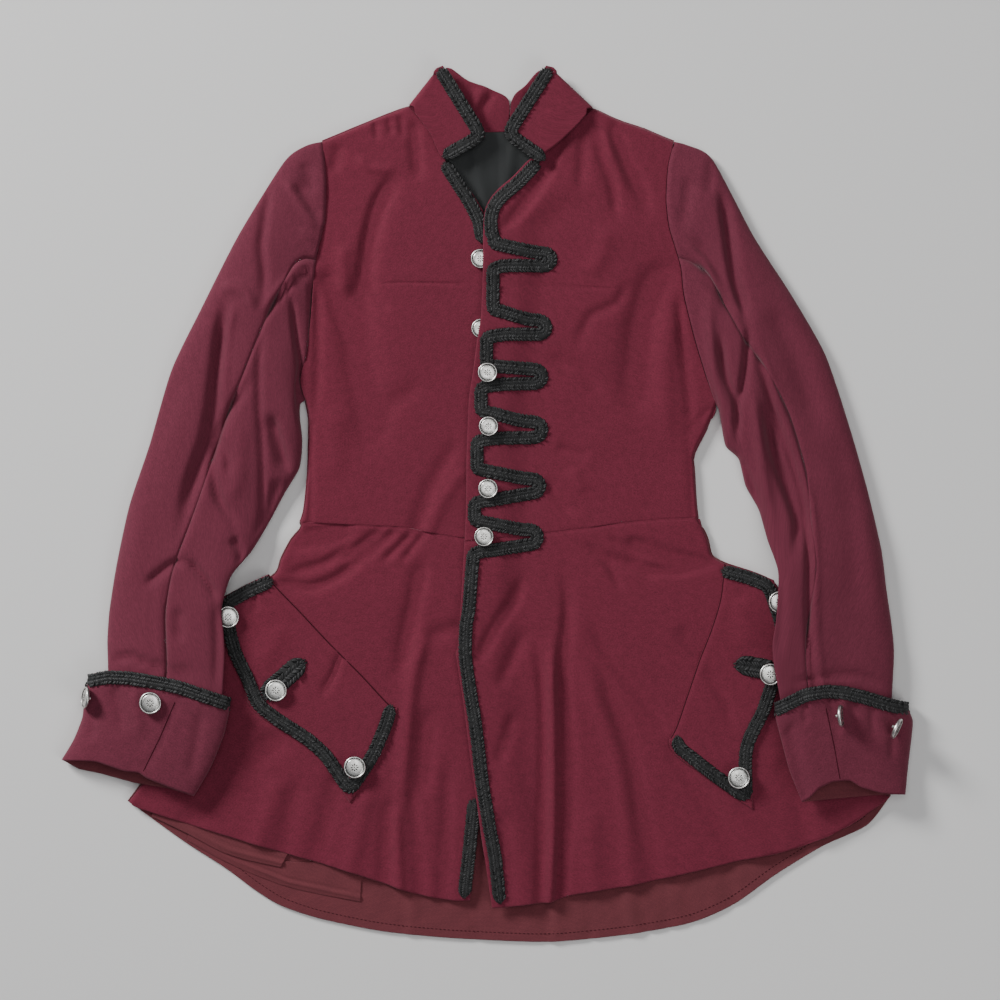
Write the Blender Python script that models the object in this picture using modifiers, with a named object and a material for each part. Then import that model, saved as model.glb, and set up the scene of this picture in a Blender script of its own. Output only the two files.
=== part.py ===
"""A napoleon jacket in burgundy wool, laid flat on its back with the arms at its sides.

All lengths are in millimetres until the meshes are made. X runs to the viewer's right, Y towards the
collar and Z up from the surface that the jacket lies on. Wearer's right is at -X. Each piece of cloth is
a wall between two layers of points, and what lies on a panel is made from that panel's own surface.
"""

import math

import bmesh
import bpy
from mathutils import Vector
from mathutils.bvhtree import BVHTree

MM = 0.001
NAME = "napoleon_jacket"

# The cloth and how its layers lie on each other
WALL = 2.2
SLEEVE_WALL = 1.6
SEAM = 0.3
SEAM_HEIGHT = 4.3
BODY_TOP = 8.1
EDGE_ROUND = 4.2
ROUNDING = (0.0, 0.9, 2.2, 4.2)
LAY = 0.8
SHEET_LAY = 0.8
OVERLAP_WIDTH = 26.0
OVERLAP_LIFT = 5.3
LINING_WALL = 1.0
PLEAT_WALL = 1.1

# Trimmings
BRAID_THICK = 1.9
FROG_BRAID_WIDTH = 11.6
FLAP_BRAID_WIDTH = 12.0
TAB_WIDTH = 20.0
BRAID_INSET = 7.0
CORNER_RADIUS = 7.5
FRONT_BUTTON = 19.5
SIDE_BUTTON = 22.0
BUTTON_THICK = 3.2

# Outlines of the body, wearer's right then wearer's left, as points (x, y)
ARMHOLE_RIGHT = [(-164, 363), (-161.5, 344), (-160, 321), (-161, 286), (-167, 258), (-171, 240),
                 (-175, 191), (-179, 153), (-186, 124), (-181, 104)]
SIDE_RIGHT = [(-181, 104), (-177, 84), (-178, 32), (-182, -6), (-186, -18)]
SHOULDER_RIGHT = [(-164, 363), (-133, 376), (-104, 388), (-78, 398)]
NECK_RIGHT = [(-78, 398), (-58, 371), (-45, 345)]
OPENING_RIGHT = [(-45, 345), (-37, 339), (-23, 323), (-9, 304), (1, 284), (6, 262), (10, 240), (10, 180),
                 (6, 100), (4, 20), (4, -38)]
WAIST_RIGHT = [(-186, -18), (-130, -21), (-86, -23), (-65, -27), (-37, -32), (4, -38)]
SIDE_SKIRT_RIGHT = [(-186, -18), (-185, -24), (-195, -36), (-205, -55), (-212, -71), (-258, -101),
                    (-280, -136), (-300, -196), (-328, -256), (-358, -298)]
EDGE_SKIRT_RIGHT = [(4, -38), (4, -100), (0, -200), (-5, -290), (-10, -340), (-16, -397)]
HEM_RIGHT = [(-358, -298), (-340, -307), (-258, -333), (-197, -351), (-162, -361), (-126, -372),
             (-88, -385), (-64, -392), (-34, -397), (-16, -397)]

ARMHOLE_LEFT = [(188, 363), (182, 338), (180, 304), (183, 277), (189, 257), (195, 236), (198, 208),
                (209, 164), (220, 128), (230, 99)]
SIDE_LEFT = [(230, 99), (223, 80), (208, 50), (208, 35), (212, -14)]
SHOULDER_LEFT = [(188, 363), (160, 375), (133, 384), (108, 396)]
NECK_LEFT = [(108, 396), (94, 380), (74, 361), (52, 346)]
OPENING_LEFT = [(52, 346), (42, 344), (27, 328), (12, 315), (2, 302), (-2, 288), (-3, 267), (-3, 240),
                (-5, 188), (-9.5, 160), (-13, 132), (-17, 106), (-19.4, 50), (-20, -6), (-21.5, -37)]
WAIST_LEFT = [(212, -14), (181, -14.6), (134, -19), (100, -24), (59, -29), (20, -33), (-21.5, -37)]
SIDE_SKIRT_LEFT = [(212, -14), (216, -22), (222, -36), (226, -52), (240, -60), (289, -80), (304, -136),
                   (324, -200), (353, -256), (405, -293)]
EDGE_SKIRT_LEFT = [(-21.5, -37), (-24.3, -86), (-28, -140), (-29.5, -154), (-23, -196), (-15, -259),
                   (6, -404)]
HEM_LEFT = [(405, -293), (392, -303), (352, -328), (306, -346), (251, -358), (205, -369), (150, -381),
            (114, -387), (84, -392), (67, -398), (48, -400), (24, -403), (6, -404)]

BACK_HEM = [(-358, -298), (-335, -315), (-300, -340), (-261, -365), (-233, -386), (-207, -402), (-169, -415),
            (-106, -428), (-36, -435), (61, -439), (138, -432), (205, -420), (249, -401), (291, -371),
            (337, -343), (382, -322), (405, -293)]
BACK_WAIST_Y = -26.0
BACK_NECK = [(-78, 398), (-66, 382), (-40, 373), (12, 371), (62, 373), (94, 381), (108, 396)]

# Large folds of the body: start x, y, end x, y, height, half width
BODY_FOLDS = [
    (60, -95, 66, -400, 4.4, 13.0),
    (92, -95, 108, -386, -1.6, 14.0),
    (136, -120, 172, -376, 2.6, 17.0),
    (198, -170, 262, -352, 2.8, 20.0),
    (-60, -130, -92, -385, 2.4, 16.0),
    (-128, -262, -188, -350, 2.2, 18.0),
    (-110, 285, -130, 190, -1.4, 14.0),
    (190, 160, 196, 78, 1.6, 12.0),
    (-120, 120, -60, 20, 0.8, 26.0),
]
# The over front rises over the two front buttons that it half covers: x, y, height
BUTTON_RISES = [(-5, 245, 2.4), (-5, 176, 2.4)]
RISE_RADIUS = 20.0
# Broad swells, the shaped bust and shoulders: centre x, y, radius x, y, height
SWELLS = [
    (-92, 205, 75, 110, 3.2),
    (105, 205, 80, 110, 3.2),
    (-100, -130, 90, 90, 1.4),
    (120, -120, 90, 90, 1.4),
]

# Sleeve stations: outer x, y, inner x, y, height, lift at the outer and the inner side
SLEEVE_RIGHT = [
    (-165.1, 363.4, -182.4, 103.8, 11.0, 0.0, 0.0),
    (-180, 359, -186, 100, 12.5, 0.0, 0.0),
    (-202, 343, -186.5, 88, 15.0, 0.0, 0.0),
    (-248, 269, -184, 62, 19.0, 0.0, 0.0),
    (-286, 194, -187, 36, 19.0, 0.0, 0.0),
    (-315, 134, -201, 12, 18.0, 0.0, 0.0),
    (-337, 59, -217, -18, 18.0, 0.0, 1.0),
    (-357, -1, -234, -47, 18.0, 0.0, 8.0),
    (-370, -61, -254, -72, 18.0, 0.0, 16.0),
    (-377, -106, -263, -104, 17.5, 0.6, 19.5),
    (-379, -136, -261, -128, 17.0, 1.8, 20.5),
    (-378, -158, -260, -152, 16.0, 5.5, 21.5),
    (-377, -186, -263, -204, 14.5, 9.4, 21.3),
]
SLEEVE_LEFT = [
    (190.3, 363.6, 232.0, 98.9, 11.0, 0.0, 0.0),
    (203, 359, 233, 95, 12.5, 0.0, 0.0),
    (227, 345, 235, 84, 15.0, 0.0, 0.0),
    (268, 268, 240, 58, 19.0, 0.0, 0.0),
    (306, 209, 253, 45, 19.0, 0.0, 0.0),
    (340, 149, 260, 18, 18.0, 0.0, 0.0),
    (365, 74, 273, -6, 18.0, 0.0, 2.0),
    (382, 14, 281, -36, 18.0, 0.0, 10.0),
    (396, -46, 291, -68, 18.0, 0.0, 18.5),
    (401, -86, 289, -112, 17.5, 0.6, 21.0),
    (406, -121, 285, -140, 17.0, 1.8, 21.5),
    (408, -151, 287, -164, 16.0, 5.0, 21.5),
    (405, -194, 296.5, -203, 15.0, 9.0, 19.4),
]
# Where the front seam of the sleeve lies across its width, from the outer side, station by station
SLEEVE_SEAM_RIGHT = [0.46, 0.44, 0.42, 0.42, 0.43, 0.46, 0.47, 0.49, 0.50, 0.51, 0.51, 0.51, 0.51]
SLEEVE_SEAM_LEFT = [0.44, 0.44, 0.45, 0.46, 0.47, 0.46, 0.50, 0.58, 0.64, 0.70, 0.72, 0.74, 0.74]
# How far the first stations follow the armhole's curve, and how much less the top rises than the lift
FOLLOW = [1.0, 0.8, 0.5, 0.12]
TOP_DROP = 0.3
# The tube's section: how round its sides and top are, and how high its two side folds stand
SIDE_SHAPE = 0.62
TOP_SHAPE = 0.8
TUBE_EDGE = 5.0
SEAM_TURN = 0.0007

# Cuff stations, in the sleeve's own columns
CUFF_RIGHT = [
    (-396, -170, -255.5, -196, 21.0, 3.0, 18.6),
    (-402, -190, -255.5, -206, 21.0, 2.4, 18.2),
    (-404, -213, -261, -230, 21.0, 1.0, 17.4),
    (-413, -236, -274, -262, 20.0, 0.4, 16.4),
    (-425, -256, -291, -291, 18.0, 0.0, 14.4),
]
CUFF_LEFT = [
    (417, -186, 288, -197, 21.0, 3.0, 18.6),
    (425.5, -206, 288, -210, 21.0, 2.4, 18.2),
    (425, -226, 294, -234, 21.0, 1.0, 17.8),
    (422, -258, 302, -264, 20.0, 2.0, 17.5),
    (419, -290, 315, -297, 18.0, 8.2, 16.0),
]

# Pocket flaps: the sewn seam, the outer edge, and the lower edge from the seam to the tip
FLAP_RIGHT_SEAM = [(-217, -70), (-211, -81), (-186, -107), (-157, -138), (-125, -170), (-98, -199),
                   (-88, -204)]
FLAP_RIGHT_TOP = [(-217, -70), (-243, -82), (-268, -96)]
FLAP_RIGHT_OUTER = [(-268, -96), (-263, -129), (-258, -150), (-244, -179), (-234, -205), (-210, -223),
                    (-183, -240), (-166, -255), (-136, -299)]
FLAP_RIGHT_LOWER = [(-88, -204), (-94, -225), (-107, -255), (-136, -299)]
FLAP_LEFT_SEAM = [(238, -60), (234, -95), (225, -125), (213, -156), (202, -188), (190, -223), (184, -234)]
FLAP_LEFT_TOP = [(238, -60), (262, -66), (288, -76)]
FLAP_LEFT_OUTER = [(288, -76), (303, -120), (302, -160), (290, -190), (284, -210), (274, -228), (267, -245),
                   (266, -266), (267, -306)]
FLAP_LEFT_LOWER = [(184, -234), (186, -247), (222, -275), (267, -306)]

# The over front's braid: root x, upper root y, upper tip y, tip x, lower tip y, lower root y, next x
FROGS = [
    (8, 259, 251, 65, 238, 237.5, 7),
    (7, 193, 183.5, 60, 169.5, 169, 0.5),
    (0.5, 138, 134.5, 56, 120.5, 119, -5),
    (-5, 92, 82, 56, 66.5, 65, -9),
    (-9, 34, 25, 54, 11, 3.5, -11.5),
    (-11.5, -17.5, -26, 51.5, -40.5, -47, -13),
]
OVER_NECK_PATH = [(49, 338), (33, 321), (18, 308), (9, 298), (6, 286), (6, 270)]
OVER_EDGE_PATH = [(-14, -60), (-15.5, -86), (-17.5, -108), (-20, -122), (-20.5, -152), (-16, -186),
                  (-10, -224), (-4, -276), (3, -320), (9, -352), (14, -398)]
UNDER_NECK_PATH = [(-40, 336), (-28, 319), (-16, 300), (-7, 282), (-4, 262)]
UNDER_EDGE_PATH = [(-11.5, -296), (-14, -320), (-17, -350), (-22, -393)]
COLLAR_PATH_RIGHT = [(-43, 430), (-4, 365), (-40, 349)]
COLLAR_PATH_LEFT = [(60, 430), (21, 369), (51, 350)]
TAB_RIGHT = [(-217, -188), (-186, -161)]
TAB_LEFT = [(282, -166), (254, -161)]

# Buttons: x, y. The first two front buttons sit on the under front
FRONT_BUTTONS = [(-5.5, 245.3), (-5, 175.5), (1.5, 131.2), (2.5, 77.6), (2, 15.4), (-2.1, -32.5)]
FLAP_RIGHT_BUTTONS = [(-257.4, -112.8), (-209.7, -186), (-131, -262.8)]
FLAP_LEFT_BUTTONS = [(293, -98), (284, -170), (252.2, -273)]
# On the cuffs: share across the cuff, and how far the button stands off it
CUFF_RIGHT_BUTTONS = [(0.47, 3.4), (0.03, 2.3)]
CUFF_LEFT_BUTTONS = [(0.54, 3.4), (0.1, 0.7)]

WOOL = (0.165, 0.017, 0.036, 1.0)
WOOL_DARK = (0.13, 0.02, 0.03, 1.0)
GIMP = (0.012, 0.012, 0.013, 1.0)
LINING = (0.02, 0.025, 0.025, 1.0)
SILVER = (0.5, 0.49, 0.47, 1.0)


def make_material(name, colour, roughness, metallic):
    """A Principled material for one node."""
    material = bpy.data.materials.new(name)
    material.use_nodes = True
    shader = material.node_tree.nodes["Principled BSDF"]
    shader.inputs["Base Color"].default_value = colour
    shader.inputs["Roughness"].default_value = roughness
    shader.inputs["Metallic"].default_value = metallic
    material.diffuse_color = colour
    return material


def clear_scene():
    """Remove the objects of the scene that the script starts in."""
    for scene_object in list(bpy.data.objects):
        bpy.data.objects.remove(scene_object)


def curve_points(points, count):
    """Points evenly spaced along a smooth curve through the given points."""
    dense = []
    last = len(points) - 1
    for i in range(last):
        p0 = points[max(i - 1, 0)]
        p1 = points[i]
        p2 = points[i + 1]
        p3 = points[min(i + 2, last)]
        for k in range(8):
            t = k / 8
            dense.append(tuple(catmull(p0[c], p1[c], p2[c], p3[c], t) for c in range(2)))
    dense.append(tuple(points[-1][:2]))
    return resample(dense, count)


def catmull(a, b, c, d, t):
    """A gentle Catmull-Rom spline, with half the usual tangents."""
    tangent_b = 0.35 * (c - a)
    tangent_c = 0.35 * (d - b)
    t2 = t * t
    t3 = t2 * t
    return ((2 * t3 - 3 * t2 + 1) * b + (t3 - 2 * t2 + t) * tangent_b
            + (3 * t2 - 2 * t3) * c + (t3 - t2) * tangent_c)


def resample(dense, count):
    """The same polyline with a given number of evenly spaced points."""
    lengths = [0.0]
    for a, b in zip(dense, dense[1:]):
        lengths.append(lengths[-1] + math.dist(a, b))
    result = []
    place = 0
    for i in range(count):
        target = lengths[-1] * i / (count - 1)
        while place < len(dense) - 2 and lengths[place + 1] < target:
            place += 1
        span = max(lengths[place + 1] - lengths[place], 1e-9)
        t = min(max((target - lengths[place]) / span, 0.0), 1.0)
        a = dense[place]
        b = dense[place + 1]
        result.append(tuple(a[c] + (b[c] - a[c]) * t for c in range(len(a))))
    return result


def at_share(curve, share):
    """The point of a polyline at a share of its evenly spaced points."""
    place = min(max(share, 0.0), 1.0) * (len(curve) - 1)
    low = min(int(place), len(curve) - 2)
    t = place - low
    a = curve[low]
    b = curve[low + 1]
    return (a[0] + (b[0] - a[0]) * t, a[1] + (b[1] - a[1]) * t)


def join(*parts):
    """One polyline from several that meet end to end."""
    whole = list(parts[0])
    for part in parts[1:]:
        whole += part[1:]
    return whole


def segment_distance(x, y, a, b):
    """The distance of a point from a segment, and the share along it."""
    dx = b[0] - a[0]
    dy = b[1] - a[1]
    share = ((x - a[0]) * dx + (y - a[1]) * dy) / max(dx * dx + dy * dy, 1e-9)
    share = min(max(share, 0.0), 1.0)
    return math.hypot(x - a[0] - dx * share, y - a[1] - dy * share), share


def path_distance(x, y, path):
    """The distance of a point from a polyline."""
    return min(segment_distance(x, y, a, b)[0] for a, b in zip(path, path[1:]))


def smooth(value):
    """A step from 0 to 1 with a soft start and end."""
    value = min(max(value, 0.0), 1.0)
    return value * value * (3 - 2 * value)


def fold_height(x, y, folds):
    """The sum of the long ridges and troughs at a place."""
    total = 0.0
    for x0, y0, x1, y1, height, half_width in folds:
        distance, share = segment_distance(x, y, (x0, y0), (x1, y1))
        fade = 0.35 + 0.65 * smooth(share * 2)
        total += height * fade * math.exp(-(distance / half_width) ** 2)
    return total


def swell_height(x, y):
    """The sum of the broad swells at a place."""
    total = 0.0
    for cx, cy, rx, ry, height in SWELLS:
        total += height * math.exp(-(((x - cx) / rx) ** 2 + ((y - cy) / ry) ** 2))
    return total


def cut_side(points, y, keep_above):
    """The part of a smooth side line above or below a height, ending on it."""
    dense = curve_points(points, 241)
    kept = [p for p in dense if (p[1] > y) == keep_above]
    near = min(dense, key=lambda p: abs(p[1] - y))
    end = (near[0], y)
    return kept + [end] if keep_above else [end] + kept


SIDES_RIGHT = curve_points(join(SIDE_RIGHT, SIDE_SKIRT_RIGHT), 121)
SIDES_LEFT = curve_points(join(SIDE_LEFT, SIDE_SKIRT_LEFT), 121)
ROUND_EDGES = [SHOULDER_RIGHT, SHOULDER_LEFT, SIDES_RIGHT, SIDES_LEFT]
OVER_EDGE = join(OPENING_LEFT, EDGE_SKIRT_LEFT)


def outline_distance(x, y):
    """How far a place lies inside the body's outline."""
    return min(path_distance(x, y, path) for path in ROUND_EDGES)


def quarter_circle(distance):
    """1 on the flat of the body and 0 on its outline."""
    short = 1 - min(distance / EDGE_ROUND, 1.0)
    return math.sqrt(max(1 - short * short, 0.0))


def edge_round(x, y):
    """The quarter circle of the body's edge at a place."""
    return quarter_circle(outline_distance(x, y))


def inner_grid(grid, seam_height, outward):
    """The inside of a body panel: a wall's thickness in, along the same quarter circle.

    Points near a side move along their row, and points near a shoulder down their column.
    """
    result = []
    columns = len(grid[0])
    for r, row in enumerate(grid):
        inner = []
        for c, (x, y, z) in enumerate(row):
            side = min(path_distance(x, y, SIDES_RIGHT), path_distance(x, y, SIDES_LEFT), EDGE_ROUND)
            shoulder = min(path_distance(x, y, SHOULDER_RIGHT), path_distance(x, y, SHOULDER_LEFT),
                           EDGE_ROUND)
            if min(side, shoulder) >= EDGE_ROUND:
                inner.append((x, y, z - outward * WALL))
                continue
            neighbour = row[c + len(ROUNDING)] if c < columns / 2 else row[c - len(ROUNDING)]
            x, y = toward((x, y), neighbour[:2], WALL * (1 - side / EDGE_ROUND))
            if r < len(ROUNDING):
                x, y = toward((x, y), grid[r + len(ROUNDING)][c][:2], WALL * (1 - shoulder / EDGE_ROUND))
            share = quarter_circle(min(side, shoulder))
            if share > 0.01:
                inner.append((x, y, seam_height + ((z - seam_height) / share - outward * WALL) * share))
            else:
                inner.append((x, y, seam_height))
        result.append(inner)
    return result


def front_top(x, y):
    """The height of the front's outer face."""
    full = BODY_TOP + fold_height(x, y, BODY_FOLDS) + swell_height(x, y)
    return SEAM_HEIGHT + (full - SEAM_HEIGHT) * edge_round(x, y)


def over_front_top(x, y):
    """The over front lies on the under front along its own edge."""
    distance = path_distance(x, y, OVER_EDGE)
    lift = OVERLAP_LIFT * smooth((OVERLAP_WIDTH + 36 - distance) / 28) * smooth((345 - y) / 60)
    for cx, cy, height in BUTTON_RISES:
        lift += height * math.exp(-((x - cx) ** 2 + (y - cy) ** 2) / RISE_RADIUS ** 2)
    return front_top(x, y) + lift * edge_round(x, y)


def back_bottom(x, y):
    """The back's outer face: flat on the ground, turned up at the seams."""
    return (SEAM_HEIGHT - SEAM) * (1 - edge_round(x, y))


def inset_shares(length, insets, count):
    """Shares of a length: a few close to its start, the rest even."""
    shares = [inset / length for inset in insets]
    first = shares[-1]
    for i in range(1, count + 1):
        shares.append(first + (1 - first) * i / count)
    return shares


def coons(top, bottom, left, right, s, t, fan=1.0):
    """A point of the patch between four edges, s across and t down. A fan above 1 spreads the side."""
    a = at_share(top, s)
    b = at_share(bottom, 1 - (1 - s) ** fan)
    c = at_share(left, t)
    d = at_share(right, t)
    corner = [top[0], top[-1], bottom[0], bottom[-1]]
    point = []
    for axis in range(2):
        ruled = (1 - t) * a[axis] + t * b[axis] + (1 - s) * c[axis] + s * d[axis]
        bilinear = ((1 - s) * (1 - t) * corner[0][axis] + s * (1 - t) * corner[1][axis]
                    + (1 - s) * t * corner[2][axis] + s * t * corner[3][axis])
        point.append(ruled - bilinear)
    return tuple(point)


def patch_grid(edges, height, across, down, inset_across=(0,), inset_down=(0,), far_across=False,
               fan=1.0):
    """A grid of points (x, y, z) over a panel with four edges."""
    top, bottom, left, right = [curve_points(edge, 97) for edge in edges]
    width = 0.5 * (math.dist(top[0], top[-1]) + math.dist(bottom[0], bottom[-1]))
    drop = 0.5 * (math.dist(top[0], bottom[0]) + math.dist(top[-1], bottom[-1]))
    s_list = inset_shares(width, inset_across, across)
    t_list = inset_shares(drop, inset_down, down)
    if far_across:
        middle = [s for s in s_list if s < 0.999 - inset_across[-1] / width]
        s_list = middle + [1 - inset / width for inset in reversed(inset_across)]
    grid = []
    for t in t_list:
        row = []
        for s in s_list:
            x, y = coons(top, bottom, left, right, s, t, fan)
            row.append((x, y, height(x, y)))
        grid.append(row)
    return grid


def grid_mesh(grid, closed_rows=False):
    """Vertices and quads of a grid of points."""
    rows = len(grid)
    columns = len(grid[0])
    vertices = [point for row in grid for point in row]
    faces = []
    for r in range(rows - 1):
        for c in range(columns - 1):
            a = r * columns + c
            faces.append((a, a + 1, a + columns + 1, a + columns))
    if closed_rows:
        for r in range(rows - 1):
            a = r * columns + columns - 1
            faces.append((a, r * columns, (r + 1) * columns, a + columns))
    return vertices, faces


class Surface:
    """The outer face of a laid panel, to put other pieces on."""

    def __init__(self, *grids):
        vertices = []
        faces = []
        for grid in grids:
            more, quads = grid_mesh(grid)
            faces += [tuple(i + len(vertices) for i in quad) for quad in quads]
            vertices += more
        self.tree = BVHTree.FromPolygons([Vector(v) for v in vertices], faces)

    def height(self, x, y):
        """The height at a place, or that of the nearest edge."""
        hit = self.tree.ray_cast(Vector((x, y, 200)), Vector((0, 0, -1)))
        if hit[0] is None:
            near = self.tree.find_nearest(Vector((x, y, 20)))
            return near[0].z
        return hit[0].z


def add_object(name, vertices, faces, material):
    """A mesh object in metres from points in millimetres."""
    mesh = bpy.data.meshes.new(name)
    mesh.from_pydata([tuple(c * MM for c in v) for v in vertices], [], faces)
    mesh.update()
    made = bpy.data.objects.new(name, mesh)
    PARTS.objects.link(made)
    mesh.materials.append(material)
    return made


def add_wall(name, grid, thickness, material, facing_up=True, closed_rows=False):
    """A wall of cloth under an outer face given as a grid."""
    vertices, faces = grid_mesh(grid, closed_rows)
    wall = add_object(name, vertices, faces, material)
    frame = bmesh.new()
    frame.from_mesh(wall.data)
    frame.normal_update()
    tilt = sum(face.normal.z * face.calc_area() for face in frame.faces)
    if (tilt > 0) != facing_up:
        bmesh.ops.reverse_faces(frame, faces=frame.faces[:])
    frame.to_mesh(wall.data)
    frame.free()
    solidify = wall.modifiers.new("wall", "SOLIDIFY")
    solidify.thickness = thickness * MM
    solidify.offset = -1
    return wall


def add_shell(name, outer, inner, material):
    """A closed wall between an outer and an inner grid of the same size."""
    rows = len(outer)
    columns = len(outer[0])
    vertices, faces = grid_mesh(outer)
    more, inner_faces = grid_mesh(inner)
    shift = len(vertices)
    vertices += more
    faces += [tuple(i + shift for i in reversed(quad)) for quad in inner_faces]
    rim = [c for c in range(columns)]
    rim += [r * columns + columns - 1 for r in range(1, rows)]
    rim += [(rows - 1) * columns + c for c in range(columns - 2, -1, -1)]
    rim += [r * columns for r in range(rows - 2, 0, -1)]
    for a, b in zip(rim, rim[1:] + rim[:1]):
        faces.append((b, a, a + shift, b + shift))
    made = add_object(name, vertices, faces, material)
    face_solid_out(made)
    return made


def face_solid_out(made):
    """Turn a closed body's faces outwards."""
    frame = bmesh.new()
    frame.from_mesh(made.data)
    bmesh.ops.recalc_face_normals(frame, faces=frame.faces[:])
    if frame.calc_volume(signed=True) < 0:
        bmesh.ops.reverse_faces(frame, faces=frame.faces[:])
    frame.to_mesh(made.data)
    frame.free()


# Bodice and skirt panels: the fronts


def make_fronts():
    """Four front panels, each in its own outline."""
    wool = make_material("wool", WOOL, 0.85, 0.0)
    sides = {
        "right": curve_points(join(ARMHOLE_RIGHT, SIDE_RIGHT), 241),
        "left": curve_points(join(ARMHOLE_LEFT, SIDE_LEFT), 241),
    }
    panels = {
        "front_bodice_right": ((SHOULDER_RIGHT, WAIST_RIGHT, sides["right"],
                                join(NECK_RIGHT, OPENING_RIGHT)), front_top, 11, 15, 1.0),
        "front_bodice_left": ((SHOULDER_LEFT, WAIST_LEFT, sides["left"],
                               join(NECK_LEFT, OPENING_LEFT)), over_front_top, 13, 17, 1.0),
        "front_skirt_right": ((WAIST_RIGHT, HEM_RIGHT, SIDE_SKIRT_RIGHT, EDGE_SKIRT_RIGHT),
                              front_top, 17, 11, 1.3),
        "front_skirt_left": ((WAIST_LEFT, HEM_LEFT, SIDE_SKIRT_LEFT, EDGE_SKIRT_LEFT),
                             over_front_top, 22, 13, 1.4),
    }
    grids = {}
    for name, (edges, height, across, down, fan) in panels.items():
        inset_down = ROUNDING if "bodice" in name else (SEAM,)
        grid = patch_grid(edges, height, across, down, ROUNDING, inset_down, fan=fan)
        if "bodice" in name:
            grid = lift_last_row(grid)
        grids[name] = grid
        add_shell(name, grid, inner_grid(grid, SEAM_HEIGHT, 1), wool)
    return grids


def lift_last_row(grid):
    """The bodice ends a seam's gap above the waist."""
    return grid[:-1] + [[(x, y + SEAM * 0.5, z) for x, y, z in grid[-1]]]


def make_back():
    """The back bodice, the back skirt, its two pleats and the lining in the neck."""
    wool = make_material("wool_back", WOOL_DARK, 0.85, 0.0)
    top = join(SHOULDER_RIGHT, BACK_NECK, SHOULDER_LEFT[::-1])
    right_line = join(ARMHOLE_RIGHT, SIDE_RIGHT, SIDE_SKIRT_RIGHT)
    left_line = join(ARMHOLE_LEFT, SIDE_LEFT, SIDE_SKIRT_LEFT)
    sides = [cut_side(line, BACK_WAIST_Y, True) for line in (right_line, left_line)]
    waist = [sides[0][-1], (0, BACK_WAIST_Y), sides[1][-1]]
    bodice = patch_grid((top, waist, sides[0], sides[1]), back_bottom, 12, 9, ROUNDING, ROUNDING, True)
    add_shell("back_bodice", bodice, inner_grid(bodice, SEAM_HEIGHT - SEAM, -1), wool)
    low = BACK_WAIST_Y - SEAM
    sides = [cut_side(line, low, False) for line in (right_line, left_line)]
    waist = [sides[0][0], (0, low), sides[1][0]]
    skirt = patch_grid((waist, BACK_HEM, sides[0], sides[1]), back_bottom, 17, 9, ROUNDING, (0.0,), True)
    add_shell("back_skirt", skirt, inner_grid(skirt, SEAM_HEIGHT - SEAM, -1), wool)
    make_pleats(wool)
    make_lining()


# The back skirt's two folded pleats, which show below the front hem at the wearer's right:
# name, lower edge, height, and the inner end of the free side
PLEATS = [
    ("back_pleat_lower", [(-300, -337), (-258, -360), (-200, -383), (-126, -399)], 2.55, (-124, -352)),
    ("back_pleat_upper", [(-335, -313), (-300, -330), (-258, -351), (-206, -364)], 4.0, (-196, -346)),
]


def make_pleats(wool):
    """Each pleat is a thin folded layer with its own visible edge."""
    for name, edge, low, end in PLEATS:
        inner = [(x + 6, y + 24) for x, y in edge[:-1]] + [end]
        top = low + PLEAT_WALL
        grid = patch_grid((inner, edge, [inner[0], edge[0]], [inner[-1], edge[-1]]),
                          lambda x, y, top=top: top, 7, 2)
        add_wall(name, grid, PLEAT_WALL, wool)


def make_lining():
    """The back lining shows in the neck."""
    lining = make_material("lining", LINING, 0.5, 0.0)
    neck = [(-60, 371), (-30, 368), (12, 366.5), (50, 368), (76, 371)]
    low = [(-60, 225), (10, 222), (76, 225)]
    sides = ([(-60, 371), (-60, 225)], [(76, 371), (76, 225)])
    top = WALL + SEAM + LINING_WALL
    grid = patch_grid((neck, low, sides[0], sides[1]), lambda x, y: top, 6, 5)
    add_wall("back_lining", grid, LINING_WALL, lining)


# Sleeves and cuffs are flattened tubes of two pieces


def tube_point(station, turn, grow=0.0, armhole=None, follow=0.0):
    """A point round a flattened tube: turn 0 outer side, 0.5 inner side, the top between them."""
    ox, oy, ix, iy, height, lift_outer, lift_inner = station[:7]
    angle = 2 * math.pi * turn
    across = 0.5 - 0.5 * math.copysign(abs(math.cos(angle)) ** SIDE_SHAPE, math.cos(angle))
    rise = math.copysign(abs(math.sin(angle)) ** TOP_SHAPE, math.sin(angle))
    width = math.hypot(ix - ox, iy - oy)
    if grow:
        across = 0.5 + (across - 0.5) * (1 + 2 * grow / width)
    lift = lift_outer + (lift_inner - lift_outer) * across
    if rise >= 0:
        z = lift + TUBE_EDGE + (height - TUBE_EDGE - TOP_DROP * lift + grow) * rise
    else:
        z = lift + TUBE_EDGE + (TUBE_EDGE + grow) * rise
    x = ox + (ix - ox) * across
    y = oy + (iy - oy) * across
    if follow > 0:
        curve_x, curve_y = at_share(armhole, across)
        straight_x = armhole[0][0] + (armhole[-1][0] - armhole[0][0]) * across
        straight_y = armhole[0][1] + (armhole[-1][1] - armhole[0][1]) * across
        x += (curve_x - straight_x) * follow
        y += (curve_y - straight_y) * follow
    return (x, y, z)


def turn_for_share(share):
    """The turn at which the tube's top has reached a share of its width."""
    value = 1 - 2 * share
    cosine = math.copysign(abs(value) ** (1 / SIDE_SHAPE), value)
    return math.acos(min(max(cosine, -1.0), 1.0)) / (2 * math.pi)


def tube_grid(stations, turns, armhole=None, follow=()):
    """A grid of points along a tube, between two turns at each station."""
    follow = list(follow) + [0.0] * (len(stations) - len(follow))
    return [[tube_point(station, turn, 0.0, armhole, share) for turn in row]
            for station, row, share in zip(stations, turns, follow)]


def spread(start, end, count):
    """Evenly spaced values, both ends included."""
    return [start + (end - start) * i / (count - 1) for i in range(count)]


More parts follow.
